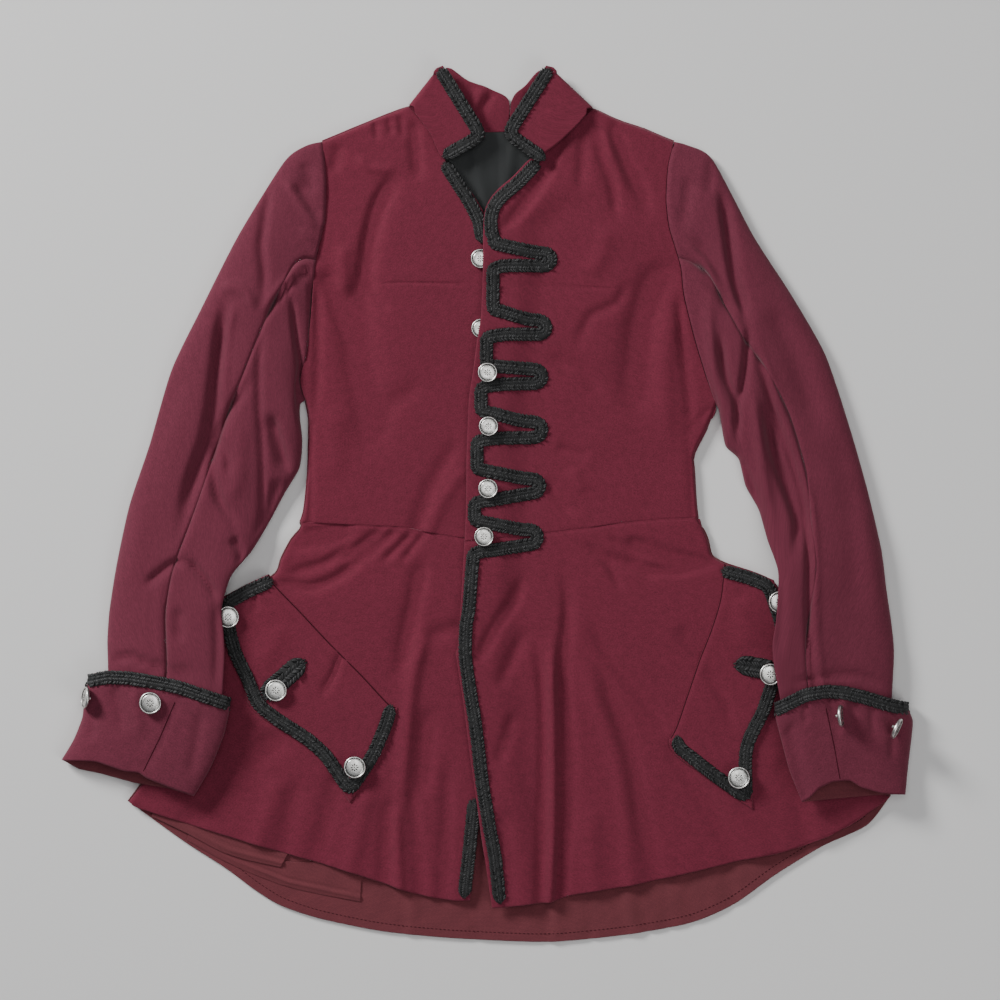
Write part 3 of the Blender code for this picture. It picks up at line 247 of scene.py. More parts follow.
def soft_line(points, count):
    """A soft curve through a pattern's points."""
    p = np.array(points, float)
    start = p[:-1, None]
    end = p[1:, None]
    leave = 0.35 * (p[1:] - np.vstack([p[:1], p[:-2]]))[:, None]
    arrive = 0.35 * (np.vstack([p[2:], p[-1:]]) - p[:-1])[:, None]
    t = np.linspace(0, 1, 8, endpoint=False)[None, :, None]
    curve = ((2 * t**3 - 3 * t**2 + 1) * start + (t**3 - 2 * t**2 + t) * leave
             + (3 * t**2 - 2 * t**3) * end + (t**3 - t**2) * arrive)
    return even(np.vstack([curve.reshape(-1, p.shape[1]), p[-1:]]), count)


RIM = [0.0, 0.5, 1.1, 1.9, 2.9, 4.2]
EDGE_POINTS = 121
FINE_STEP = 0.75


def shares_along(length, step):
    """Shares of a length: close together at both rounded edges, and a step apart between them."""
    middle = np.linspace(RIM[-1], length - RIM[-1], max(int((length - RIM[-1] - RIM[-1]) / step), 2))
    return np.concatenate([RIM[:-1], middle, length - np.array(RIM[:-1][::-1])]) / length


def patch(top, bottom, left, right, step, fan=1.0, fine_rows=None):
    """The grid between four edges, as x and y in millimetres. Fine rows run from one share to another."""
    edges = [soft_line(edge, EDGE_POINTS) for edge in (top, bottom, left, right)]
    width = 0.5 * sum(np.hypot(*(edge[-1] - edge[0])) for edge in edges[:2])
    drop = 0.5 * sum(np.hypot(*(edge[-1] - edge[0])) for edge in edges[2:])
    s = shares_along(width, step)[None, :, None]
    t = shares_along(drop, step)
    if fine_rows:
        first, last = fine_rows
        t = t[(t < first) | (t > last)]
        t = np.sort(np.concatenate([t, np.linspace(first, last, int((last - first) * drop / FINE_STEP))]))
    t = t[:, None, None]
    place = np.linspace(0, 1, EDGE_POINTS)

    def along(edge, share):
        return np.stack([np.interp(share[..., 0], place, edge[:, c]) for c in range(2)], axis=-1)

    a, b, c, d = (along(edges[0], s), along(edges[1], 1 - (1 - s) ** fan), along(edges[2], t),
                  along(edges[3], t))
    corners = ((1 - s) * (1 - t) * edges[0][0] + s * (1 - t) * edges[0][-1]
               + (1 - s) * t * edges[1][0] + s * t * edges[1][-1])
    grid = (1 - t) * a + t * b + (1 - s) * c + s * d - corners
    return grid[..., 0], grid[..., 1]


# %% [markdown]
# ## Folds
# A fold is a line on the cloth with a height (negative for a trough), a half width, and a lean that makes
# one side steeper. Added up over a grid they give the lie of the cloth. Doing it with numpy, for all
# points at once, keeps a hundred folds fast.


# %% Distances and folds
def distance_to(x, y, line):
    """For every point: its distance from a line, its share along the line and the side it lies on."""
    line = np.asarray(line, float)
    lengths = np.hypot(*np.diff(line, axis=0).T)
    run = np.concatenate([[0], np.cumsum(lengths)])
    best = np.full(x.shape, 1e9)
    share = np.zeros(x.shape)
    side = np.ones(x.shape)
    for a, b, before, length in zip(line[:-1], line[1:], run, lengths):
        dx, dy = b - a
        t = np.clip(((x - a[0]) * dx + (y - a[1]) * dy) / max(length * length, 1e-9), 0, 1)
        ex = x - a[0] - t * dx
        ey = y - a[1] - t * dy
        gap = np.hypot(ex, ey)
        near = gap < best
        best = np.where(near, gap, best)
        share = np.where(near, (before + t * length) / run[-1], share)
        side = np.where(near, np.sign(dx * ey - dy * ex), side)
    return best, share, side


def soft_step(value):
    """A smooth rise from 0 to 1."""
    value = np.clip(value, 0, 1)
    return value * value * (3 - 2 * value)


# A broad fold stands this many millimetres for each unit of height in its table. Narrow ones, such as
# seams, stay shallower.
FOLD_DEPTH = 2.3
NARROW_DEPTH = 1.2
NARROW_FOLD = 2.6
# Shares of a fold's length over which its ends fade
FADE_IN = 0.22
FADE_OUT = 0.3
# A lean of 1 makes one side this much steeper and the other this much wider
LEAN_SHARE = 0.45


def relief(x, y, folds):
    """The sum of all folds in a table: height, half width, lean, ends that fade (b, s or n), points."""
    total = np.zeros(x.shape)
    for height, width, lean, ends, points in folds:
        line = soft_line(points, 5 * len(points))
        gap, share, side = distance_to(x, y, line)
        fade = np.ones(x.shape)
        if ends in "bs":
            fade = soft_step(share / FADE_IN)
        if ends == "b":
            fade = fade * soft_step((1 - share) / FADE_OUT)
        own = width * (1 - LEAN_SHARE * lean * side)
        depth = FOLD_DEPTH if width > NARROW_FOLD else NARROW_DEPTH
        total += depth * height * fade * np.exp(-(gap / own) ** 2)
    return total


def waves(x, y, seed, size, height):
    """Low, uneven undulation, the same on each run."""
    dice = np.random.default_rng(seed)
    total = np.zeros(x.shape)
    for _ in range(9):
        angle, phase = dice.uniform(0, 2 * np.pi, 2)
        length = size * dice.uniform(0.55, 1.9)
        total += np.sin((x * np.cos(angle) + y * np.sin(angle)) * 2 * np.pi / length + phase)
    return total * height / 5


# %% [markdown]
# ## From a grid to cloth
# A grid becomes a sheet one cloth's thickness deep with the Solidify modifier, which grows it inwards, so
# the outside stays where the grid put it. Its UV map is measured along the yarns in metres, and the cut's
# width is measured from the same grid.


# %% Cloth maker
CLOTH = 1.5


def along_grid(points, axis):
    """Distances added up along the rows or columns of a grid of points."""
    steps = np.linalg.norm(np.diff(points, axis=axis), axis=2)
    pad = [(0, 0), (0, 0)]
    pad[axis] = (1, 0)
    return np.cumsum(np.pad(steps, pad), axis=axis)


def cloth(name, x, y, z, outside, inside=None, outward="up", closed=False, thick=CLOTH, stands_for=(),
          slot="wool", held="laid", rests_on=()):
    """A sheet of cloth from a grid in millimetres."""
    points = np.stack([x, y, z], axis=2) * MM
    rows, columns = x.shape
    index = np.arange(rows * columns).reshape(rows, columns)
    a, b, c, d = index[:-1, :-1], index[:-1, 1:], index[1:, 1:], index[1:, :-1]
    quads = np.stack([a, b, c, d], axis=2).reshape(-1, 4)
    if closed:
        last = np.stack([index[:-1, -1], index[:-1, 0], index[1:, 0], index[1:, -1]], axis=1)
        quads = np.vstack([quads, last])
    flat = points.reshape(-1, 3)
    across = flat[quads[:, 2]] - flat[quads[:, 0]]
    normal = np.cross(across, flat[quads[:, 3]] - flat[quads[:, 1]])
    if outward == "up":
        turn = normal[:, 2].sum()
    else:
        middle = np.repeat(points.mean(axis=1)[:, None], columns, axis=1).reshape(-1, 3)
        turn = (normal * (flat[quads[:, 0]] - middle[quads[:, 0]])).sum()
    if turn < 0:
        quads = quads[:, ::-1]
    mesh = bpy.data.meshes.new(name)
    mesh.from_pydata(flat.tolist(), [], quads.tolist())
    uv = np.stack([along_grid(points, 1), along_grid(points, 0)], axis=2).reshape(-1, 2)
    layer = mesh.uv_layers.new(name="yarns")
    layer.data.foreach_set("uv", uv[quads.reshape(-1)].reshape(-1))
    mesh.shade_smooth()
    piece = link(name, mesh)
    mesh.materials.append(outside)
    mesh.materials.append(inside or outside)
    wall = piece.modifiers.new("cloth", "SOLIDIFY")
    wall.thickness = thick * MM
    wall.offset = -1
    wall.material_offset = 1
    wall.material_offset_rim = 0
    width = float(along_grid(points, 1)[:, -1].max())
    if closed:
        width += float(np.linalg.norm(points[:, -1] - points[:, 0], axis=1).max())
    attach(piece, "root")
    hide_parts(*stands_for)


class Lie:
    """The outer face of laid cloth, to lay other pieces on."""

    def __init__(self, *grids):
        vertices = []
        faces = []
        for x, y, z in grids:
            rows, columns = x.shape
            index = np.arange(rows * columns).reshape(rows, columns) + len(vertices)
            faces += np.stack([index[:-1, :-1], index[:-1, 1:], index[1:, 1:], index[1:, :-1]],
                              axis=2).reshape(-1, 4).tolist()
            vertices += np.stack([x, y, z], axis=2).reshape(-1, 3).tolist()
        self.tree = BVHTree.FromPolygons(vertices, faces)

    def at(self, x, y):
        """Height and upward normal at a place, or at the nearest edge."""
        spot, normal, _, _ = self.tree.ray_cast(Vector((x, y, 200)), Vector((0, 0, -1)))
        if spot is None:
            spot, normal, _, _ = self.tree.find_nearest(Vector((x, y, 15)))
        return spot.z, normal if normal.z > 0 else -normal


# %% [markdown]
# ## The pattern
# The outlines of the body in millimetres, with the origin in the middle of the laid jacket and y towards
# the collar. Right and left are the wearer's. The left front is the over front and laps the right one.

# %% Outlines of the body
ARMHOLE_RIGHT = [(-164, 363), (-161.5, 344), (-160, 321), (-161, 286), (-167, 258), (-171, 240),
                 (-175, 191), (-179, 153), (-186, 124), (-181, 104)]
SIDE_RIGHT = [(-181, 104), (-177, 84), (-178, 32), (-182, -6), (-186, -18)]
SHOULDER_RIGHT = [(-164, 363), (-133, 376), (-104, 388), (-78, 398)]
NECK_RIGHT = [(-78, 398), (-55, 374), (-42, 347)]
OPENING_RIGHT = [(-42, 347), (-37, 339), (-23, 323), (-9, 304), (1, 284), (6, 262), (10, 240), (10, 180),
                 (6, 100), (4, 20), (4, -38)]
WAIST_RIGHT = [(-186, -18), (-130, -21), (-86, -23), (-65, -27), (-37, -32), (4, -38)]
SIDE_SKIRT_RIGHT = [(-186, -18), (-185, -24), (-195, -36), (-205, -55), (-212, -71), (-258, -101),
                    (-280, -136), (-300, -196), (-328, -256), (-358, -298)]
EDGE_SKIRT_RIGHT = [(4, -38), (4, -100), (0, -200), (-5, -290), (-10, -340), (-16, -397)]
HEM_RIGHT = [(-358, -298), (-340, -307), (-258, -333), (-197, -351), (-162, -361), (-126, -372),
             (-88, -385), (-64, -392), (-34, -397), (-16, -397)]
ARMHOLE_LEFT = [(188, 363), (182, 338), (180, 304), (183, 277), (189, 257), (195, 236), (198, 208),
                (209, 164), (220, 128), (230, 99)]
SIDE_LEFT = [(230, 99), (223, 80), (208, 50), (208, 35), (212, -14)]
SHOULDER_LEFT = [(188, 363), (160, 375), (133, 384), (108, 396)]
NECK_LEFT = [(108, 396), (91, 382), (71, 363), (50, 348)]
OPENING_LEFT = [(50, 348), (42, 344), (27, 328), (12, 315), (2, 302), (-2, 288), (-3, 267), (-3, 240),
                (-5, 188), (-9.5, 160), (-13, 132), (-17, 106), (-19.4, 50), (-20, -6), (-21.5, -37)]
WAIST_LEFT = [(212, -14), (181, -14.6), (134, -19), (100, -24), (59, -29), (20, -33), (-21.5, -37)]
SIDE_SKIRT_LEFT = [(212, -14), (216, -22), (222, -36), (226, -52), (240, -60), (289, -80), (304, -136),
                   (324, -200), (353, -256), (405, -293)]
EDGE_SKIRT_LEFT = [(-21.5, -37), (-24.3, -86), (-28, -140), (-29.5, -154), (-23, -196), (-15, -259),
                   (6, -404)]
HEM_LEFT = [(405, -293), (392, -303), (352, -328), (306, -346), (251, -358), (205, -369), (150, -381),
            (114, -387), (84, -392), (67, -398), (48, -400), (24, -403), (6, -404)]
BACK_HEM = [(-358, -298), (-335, -315), (-300, -340), (-261, -365), (-233, -386), (-207, -402),
            (-169, -415), (-106, -428), (-36, -435), (61, -439), (138, -432), (205, -420), (249, -401),
            (291, -371), (337, -343), (382, -322), (405, -293)]
BACK_NECK = [(-78, 398), (-71, 402), (-60, 386), (-40, 373), (12, 371), (62, 373), (88, 385), (100, 401),
             (108, 396)]
BACK_WAIST = [(-186, -26), (0, -26), (214, -26)]
print("pattern: body outlines in mm")

# %% Folds of the right front
# Each fold: height, half width, lean, ends that fade (b both, s start, n none), points in mm
BODICE_RIGHT_FOLDS = [
    (-1.6, 6, 0.4, "b", [(-72, 388), (-69, 347), (-66, 318)]),
    (-0.9, 3.2, 0, "b", [(-111, 384), (-109, 364)]),
    (-0.9, 3.2, 0, "b", [(-98, 387), (-94, 368)]),
    (-1.0, 3.4, 0, "b", [(-86, 390), (-83, 364)]),
    (1.0, 5, 0, "b", [(-132, 349), (-116, 336), (-86, 334)]),
    (-1.0, 6, 0, "b", [(-146, 362), (-154, 328)]),
    (-3.2, 8, -0.5, "b", [(-90, 334), (-109, 297), (-118, 264), (-123, 227), (-130, 192)]),
    (-2.6, 17, -0.3, "b", [(-128, 235), (-129, 147), (-116, 81), (-119, 35)]),
    (-2.2, 9, 0, "b", [(-163, 240), (-146, 194), (-126, 152)]),
    (1.2, 7, 0, "b", [(-143, 262), (-143, 204)]),
    (-0.9, 3.2, 0, "b", [(-116, 230), (-111, 207), (-94, 192)]),
    (-0.7, 1.3, 0, "b", [(-113, 221), (-60, 221), (-6, 220)]),
    (-1.2, 7, 0.4, "s", [(-26, 66), (-56, 14), (-70, -30)]),
    (0.9, 6, 0, "s", [(-18, 40), (-44, 2), (-58, -30)]),
    (-1.2, 4, 0, "b", [(-169, 232), (-168, 181), (-169, 114), (-175, 76)]),
    (-0.9, 3, 0, "n", [(-174, 80), (-176, -18)]),
    (-0.8, 9, 0, "b", [(-60, 120), (-100, 96), (-112, 60)]),
    (0.8, 12, 0, "b", [(-152, 100), (-150, 20)]),
    (-0.5, 1.6, 0, "n", [(-186, -19), (-130, -22), (-86, -24), (-65, -28), (-37, -33), (4, -39)]),
]
SKIRT_RIGHT_FOLDS = [
    (-0.5, 1.6, 0, "n", [(-186, -19), (-130, -22), (-86, -24), (-65, -28), (-37, -33), (4, -39)]),
    (-2.6, 9, 0.3, "b", [(-206, -36), (-169, -33), (-128, -25)]),
    (-1.7, 5, 0.3, "b", [(-148, -58), (-109, -29), (-100, -24)]),
    (-1.5, 4.5, 0.3, "b", [(-128, -58), (-93, -29), (-84, -24)]),
    (-1.3, 4, 0.3, "b", [(-106, -60), (-76, -30), (-68, -26)]),
    (-1.1, 4, 0, "b", [(-86, -60), (-62, -30), (-55, -28)]),
    (-1.8, 5, 0.3, "b", [(-214, -76), (-176, -83), (-146, -71), (-112, -43)]),
    (-1.6, 4.5, 0.3, "b", [(-200, -70), (-161, -58), (-132, -39)]),
    (-2.1, 8, 0.4, "b", [(-60, -48), (-69, -91), (-79, -136), (-88, -186)]),
    (1.8, 7, 0.3, "b", [(-54, -112), (-71, -166), (-79, -236), (-86, -322)]),
    (-1.7, 8, 0, "b", [(-58, -200), (-60, -245), (-65, -300)]),
    (1.6, 5, 0, "s", [(-90, -296), (-88, -350), (-86, -392)]),
    (-1.9, 6, 0, "s", [(-96, -290), (-101, -350), (-103, -390)]),
    (-1.4, 6, 0, "s", [(-74, -276), (-68, -350), (-66, -396)]),
    (-1.6, 10, 0.3, "b", [(-250, -262), (-222, -243), (-194, -234)]),
    (1.1, 10, 0, "s", [(-205, -270), (-218, -310), (-230, -345)]),
    (-1.3, 9, 0, "s", [(-146, -262), (-158, -310), (-170, -360)]),
    (1.1, 9, 0, "s", [(-116, -280), (-128, -330), (-138, -372)]),
    (-0.9, 9, 0, "s", [(-186, -270), (-196, -310), (-204, -352)]),
    (-0.9, 12, 0, "s", [(-262, -270), (-280, -300), (-300, -322)]),
    (-1.0, 8, 0, "b", [(-20, -120), (-50, -130), (-66, -128)]),
    (-1.2, 7, 0, "s", [(-38, -250), (-40, -330), (-44, -396)]),
]
print("folds of the right front:", len(BODICE_RIGHT_FOLDS) + len(SKIRT_RIGHT_FOLDS))

# %% Folds of the left front
BODICE_LEFT_FOLDS = [
    (-2.7, 5.5, 0.5, "b", [(82, 384), (61, 331), (44, 304), (24, 281), (8, 266)]),
    (-1.2, 6, 0, "b", [(99, 390), (97, 354), (94, 306)]),
    (-2.0, 5, 0.3, "b", [(106, 390), (117, 347), (127, 321), (132, 278)]),
    (-2.3, 7, 0.3, "b", [(124, 388), (137, 354), (151, 324), (168, 284)]),
    (1.0, 6, 0, "b", [(116, 378), (128, 340), (142, 306)]),
    (-0.7, 1.3, 0, "b", [(20, 220), (94, 217), (138, 215)]),
    (-1.1, 5, 0, "b", [(143, 228), (131, 201), (104, 187), (90, 150)]),
    (-3.2, 14, 0.3, "b", [(190, 250), (167, 214), (157, 181), (154, 147), (151, 114), (150, 74)]),
    (1.0, 9, 0, "b", [(184, 200), (180, 120), (184, 50)]),
    (-0.8, 5, 0, "b", [(70, 58), (104, 46)]),
    (-1.0, 6, 0, "b", [(58, 28), (72, 4), (92, -16)]),
    (0.7, 6, 0, "b", [(84, 36), (100, 10)]),
    (-2.2, 3.5, -0.4, "b", [(191, 214), (196, 161), (201, 121), (205, 66)]),
    (-1.3, 2.2, 0, "b", [(204, 70), (216, 88), (229, 99)]),
    (-1.1, 2.5, 0, "n", [(203, 72), (205, 20), (207, -13)]),
    (0.8, 9, 0, "b", [(120, 280), (116, 250), (100, 226)]),
    (-0.8, 8, 0, "b", [(58, 150), (96, 134), (118, 96)]),
    (-0.5, 1.6, 0, "n", [(212, -15), (181, -15.6), (134, -20), (100, -25), (59, -30), (20, -34), (-21, -38)]),
]
SKIRT_LEFT_FOLDS = [
    (-0.5, 1.6, 0, "n", [(212, -15), (181, -15.6), (134, -20), (100, -25), (59, -30), (20, -34), (-21, -38)]),
    (-2.0, 6, -0.3, "b", [(-10, -164), (9, -126), (29, -96), (40, -66)]),
    (-1.1, 7, 0, "b", [(10, -190), (28, -150), (46, -118)]),
    (-1.5, 5, 0, "s", [(46, -120), (57, -186), (58, -246), (56, -320), (54, -402)]),
    (2.8, 5.5, 0, "s", [(66, -120), (66, -200), (67, -300), (65, -402)]),
    (-2.6, 6, -0.4, "s", [(74, -56), (81, -106), (76, -176), (82, -246), (80, -316), (74, -376), (70, -402)]),
    (-1.2, 6, 0, "b", [(28, -206), (20, -236), (10, -266)]),
    (-1.4, 7, 0, "b", [(98, -116), (134, -166), (164, -201), (190, -244)]),
    (-1.9, 7, 0.4, "s", [(108, -150), (144, -236), (154, -286), (164, -336), (172, -378)]),
    (1.3, 8, 0, "s", [(92, -150), (126, -240), (138, -300), (146, -382)]),
    (-1.7, 8, 0.3, "s", [(178, -230), (219, -296), (238, -330), (254, -360)]),
    (1.0, 9, 0, "s", [(196, -236), (240, -296), (276, -350)]),
    (-2.2, 5, 0.3, "b", [(112, -48), (164, -66), (222, -64)]),
    (-2.8, 6, 0.3, "b", [(136, -33), (179, -51), (236, -62)]),
    (-1.3, 4, 0, "b", [(96, -36), (120, -58), (140, -92)]),
    (-1.1, 4, 0, "b", [(118, -30), (146, -50), (170, -84)]),
    (-1.2, 8, 0, "s", [(290, -250), (312, -300), (322, -342)]),
    (-1.1, 10, 0, "s", [(16, -300), (20, -350), (22, -402)]),
    (1.0, 10, 0, "s", [(104, -300), (106, -350), (110, -388)]),
    (-0.9, 8, 0, "b", [(190, -120), (219, -156), (240, -156)]),
]
print("folds of the left front:", len(BODICE_LEFT_FOLDS) + len(SKIRT_LEFT_FOLDS))

# %% [markdown]
# ## The fronts
# The laid body is a low cushion: its top is about 8 mm up and turns down in a quarter circle at the
# shoulders and sides, where it meets the back. The broad bust and the folds are added to that. The over
# front is lifted where it laps the under front, and once more over the two buttons that it half covers.

# %% Height of the fronts
SEAM_HEIGHT = 4.3
BODY_TOP = 8.1
LOWEST_FRONT = 6.0
EDGE_ROUND = 4.2
LAP_LIFT = 4.6
LAP_WIDTH = 62
LAP_SLOPE = 30
LAP_TOP = 345
LAP_FADE = 60
FREE_EDGE_DROP = 0.9
FREE_EDGE_ROUND = 1.8
# Broad swells of the fronts: middle x and y, radius along x and y, height
SWELLS = [(-92, 205, 75, 110, 3.2), (105, 205, 80, 110, 3.2), (-100, -130, 90, 90, 1.4),
          (120, -120, 90, 90, 1.4)]
# Rises over the two half covered buttons: middle x and y, height
BUTTON_RISES = [(-5, 245, 2.4), (-5, 176, 2.4)]
RISE_RADIUS = 20
OUTLINE = [SHOULDER_RIGHT, SHOULDER_LEFT, soft_line(SIDE_RIGHT + SIDE_SKIRT_RIGHT[1:], EDGE_POINTS),
           soft_line(SIDE_LEFT + SIDE_SKIRT_LEFT[1:], EDGE_POINTS)]
OVER_EDGE = OPENING_LEFT + EDGE_SKIRT_LEFT[1:]


def turn_down(distance, radius):
    """A quarter circle: 0 on the edge and 1 from a radius inwards."""
    short = 1 - np.clip(distance / radius, 0, 1)
    return np.sqrt(np.clip(1 - short * short, 0, 1))


def front_height(x, y, folds, free_edges, seed, over):
    """The outer face of a front."""
    inside = np.min([distance_to(x, y, line)[0] for line in OUTLINE], axis=0)
    full = BODY_TOP + relief(x, y, folds) + waves(x, y, seed, 70, 0.45) + waves(x, y, seed + 1, 26, 0.12)
    for cx, cy, rx, ry, height in SWELLS:
        full += height * np.exp(-(((x - cx) / rx) ** 2 + ((y - cy) / ry) ** 2))
    z = SEAM_HEIGHT + (np.maximum(full, LOWEST_FRONT) - SEAM_HEIGHT) * turn_down(inside, EDGE_ROUND)
    if over:
        distance = distance_to(x, y, OVER_EDGE)[0]
        lift = LAP_LIFT * soft_step((LAP_WIDTH - distance) / LAP_SLOPE) * soft_step((LAP_TOP - y) / LAP_FADE)
        for cx, cy, height in BUTTON_RISES:
            lift += height * np.exp(-((x - cx) ** 2 + (y - cy) ** 2) / RISE_RADIUS ** 2)
        z += lift * turn_down(inside, EDGE_ROUND)
    for line in free_edges:
        z -= FREE_EDGE_DROP * (1 - turn_down(distance_to(x, y, line)[0], FREE_EDGE_ROUND))
    return z


# %% Four front panels
FRONT_RIGHT = NECK_RIGHT + OPENING_RIGHT[1:]
FRONT_LEFT = NECK_LEFT + OPENING_LEFT[1:]
CHEST_ROWS = (0.33, 0.43)
# Name, CAD node, its four edges, step, fan, fine rows, folds, free edges, seed, over front, what is below
FRONTS = [
    ("right_front_bodice", "front_bodice_right",
     (SHOULDER_RIGHT, WAIST_RIGHT, ARMHOLE_RIGHT + SIDE_RIGHT[1:], FRONT_RIGHT), 2.6, 1.0, CHEST_ROWS,
     BODICE_RIGHT_FOLDS, [FRONT_RIGHT], 11, False, ["back_bodice"]),
    ("right_front_skirt", "front_skirt_right",
     (WAIST_RIGHT, HEM_RIGHT, SIDE_SKIRT_RIGHT, EDGE_SKIRT_RIGHT), 3.0, 1.3, None,
     SKIRT_RIGHT_FOLDS, [HEM_RIGHT, EDGE_SKIRT_RIGHT], 12, False, ["back_skirt"]),
    ("left_front_bodice", "front_bodice_left",
     (SHOULDER_LEFT, WAIST_LEFT, ARMHOLE_LEFT + SIDE_LEFT[1:], FRONT_LEFT), 2.6, 1.0, CHEST_ROWS,
     BODICE_LEFT_FOLDS, [FRONT_LEFT], 13, True, ["back_bodice", "right_front_bodice"]),
    ("left_front_skirt", "front_skirt_left",
     (WAIST_LEFT, HEM_LEFT, SIDE_SKIRT_LEFT, EDGE_SKIRT_LEFT), 3.0, 1.4, None,
     SKIRT_LEFT_FOLDS, [HEM_LEFT, EDGE_SKIRT_LEFT], 14, True, ["back_skirt", "right_front_skirt"]),
]
fronts = {}
for name, node, edges, step, fan, fine_rows, folds, free_edges, seed, over, below in FRONTS:
    x, y = patch(*edges, step, fan=fan, fine_rows=fine_rows)
    fronts[name] = (x, y, front_height(x, y, folds, free_edges, seed, over))
    cloth(name, *fronts[name], burgundy_wool, satin_lining, stands_for=[node], rests_on=below)
under_front = Lie(fronts["right_front_bodice"], fronts["right_front_skirt"])
over_front = Lie(fronts["left_front_bodice"], fronts["left_front_skirt"])

# %% [markdown]
# ## The back, its pleats and the lining
# The back lies on the surface and only shows where the fronts leave it: its inner face below the front
# hem, two folded pleats there, and the dark lining in the neck. It is flat underneath and turns up at the
# seams to meet the fronts.

# %% Back pieces
BACK_FOLDS = [
    (-1.0, 2.4, 0, "s", [(-80, -384), (-82, -410), (-85, -432)]),
    (0.8, 5, 0, "s", [(-72, -384), (-76, -432)]),
    (-0.9, 5, 0, "s", [(61, -394), (61, -440)]),
    (-0.9, 4, 0, "s", [(-16, -384), (-10, -436)]),
    (-1.2, 2.4, 0, "s", [(131, -380), (134, -405), (138, -434)]),
    (1.2, 6, 0, "s", [(141, -380), (150, -432)]),
    (-1.2, 2.4, 0, "s", [(150, -378), (155, -404), (162, -430)]),
    (-0.8, 4, 0, "s", [(200, -366), (206, -420)]),
    (-0.8, 6, 0, "s", [(236, -356), (246, -400)]),
    (0.8, 5, 0, "s", [(69, -394), (69, -440)]),
    (-1.0, 3, 0, "s", [(101, -388), (104, -437)]),
    (-1.0, 3, 0, "s", [(176, -374), (182, -426)]),
]


def back_height(x, y, folds, lift=0.35):
    """The inner face of the back: one cloth above a flat underside."""
    inside = np.min([distance_to(x, y, line)[0] for line in OUTLINE], axis=0)
    rise = (SEAM_HEIGHT - 0.3 - CLOTH) * (1 - turn_down(inside, EDGE_ROUND))
    return CLOTH + 0.15 + rise + np.maximum(relief(x, y, folds) * 0.6 + lift, 0)


x, y = patch(SHOULDER_RIGHT + BACK_NECK[1:] + SHOULDER_LEFT[::-1][1:], BACK_WAIST,
             ARMHOLE_RIGHT + SIDE_RIGHT[1:], ARMHOLE_LEFT + SIDE_LEFT[1:], 6.5)
cloth("back_body", x, y, back_height(x, y, []), burgundy_wool, burgundy_wool, stands_for=["back_bodice"],
      slot="wool_back")
x, y = patch([(-186, -27), (0, -27), (214, -27)], BACK_HEM, SIDE_SKIRT_RIGHT, SIDE_SKIRT_LEFT, 3.6)
back_skirt_grid = (x, y, back_height(x, y, BACK_FOLDS, 1.0))
cloth("back_skirt_panel", *back_skirt_grid, inside_wool, burgundy_wool, stands_for=["back_skirt"],
      slot="wool_back")

# %% Pleats of the back skirt
# Name, CAD node, folded edge, height, the inner corner at the hem's end
PLEATS = [
    ("pleat_lower", "back_pleat_lower", [(-300, -337), (-258, -360), (-200, -383), (-126, -399)], 3.7,
     (-124, -352)),
    ("pleat_upper", "back_pleat_upper", [(-335, -313), (-300, -330), (-258, -351), (-206, -364)], 5.2,
     (-196, -346)),
]
# The folded edge is rolled over: a low ridge behind it and a groove behind that, as height, distance
# from the edge and half width. Both fade in along the first stretch.
ROLL = [(1.3, 4.5, 1.5), (-0.7, 8.0, 1.2)]
ROLL_START = 25
ROLL_FADE = 50
for name, node, edge, level, end in PLEATS:
    inner = [(px + 6, py + 24) for px, py in edge[:-1]] + [end]
    x, y = patch(inner, edge, [inner[0], edge[0]], [inner[-1], edge[-1]], 1.5)
    from_edge = distance_to(x, y, edge)[0]
    z = level + waves(x, y, 31, 40, 0.15) - 0.5 * (1 - turn_down(from_edge, 1.6))
    rolled = sum(height * np.exp(-((from_edge - far) / wide) ** 2) for height, far, wide in ROLL)
    z += rolled * np.clip((x - edge[0][0] - ROLL_START) / ROLL_FADE, 0, 1)
    cloth(name, x, y, z, inside_wool, stands_for=[node], thick=0.9, held="folded",
          rests_on=["back_skirt_panel"], slot="wool_back")

# %% Lining in the neck
LINING_FOLDS = [
    (-0.7, 1.5, 0, "n", [(12, 372), (13, 300), (12, 224)]),
    (0.5, 2.0, 0, "n", [(15, 372), (16, 300), (15, 224)]),
    (-0.9, 7, 0, "b", [(-30, 366), (-16, 320), (-4, 270)]),
    (0.9, 6, 0, "b", [(-14, 368), (-4, 320), (4, 280)]),
    (-0.9, 6, 0, "b", [(40, 366), (32, 330), (22, 290)]),
    (0.8, 5, 0, "b", [(28, 368), (24, 340), (18, 300)]),
]
# It lies inside the back and never dips through it
LINING_HEIGHT = 3.7
LOWEST_LINING = 3.0
x, y = patch([(-60, 376), (-30, 375.5), (12, 374.5), (50, 375.5), (76, 376)],
             [(-60, 225), (10, 222), (76, 225)], [(-60, 376), (-60, 225)], [(76, 376), (76, 225)], 2.6)
z = np.maximum(LINING_HEIGHT + relief(x, y, LINING_FOLDS) * 0.45 + waves(x, y, 21, 30, 0.2), LOWEST_LINING)
cloth("neck_lining", x, y, z, satin_lining, stands_for=["back_lining"], thick=0.7,
      rests_on=["back_body"], slot="lining")

# %% [markdown]
# ## Sleeves and cuffs
# A laid sleeve is a flattened tube. Each station across it is a row of the table: where its outer and
# inner side lie, how high it stands, and how far each side is off the ground. The section is a rounded
# oblong. It is cut at the front seam, as the real sleeve is, and at a seam underneath, which gives an
# upper and an under piece. Points are spaced by share of the width and crowd towards the two side folds.

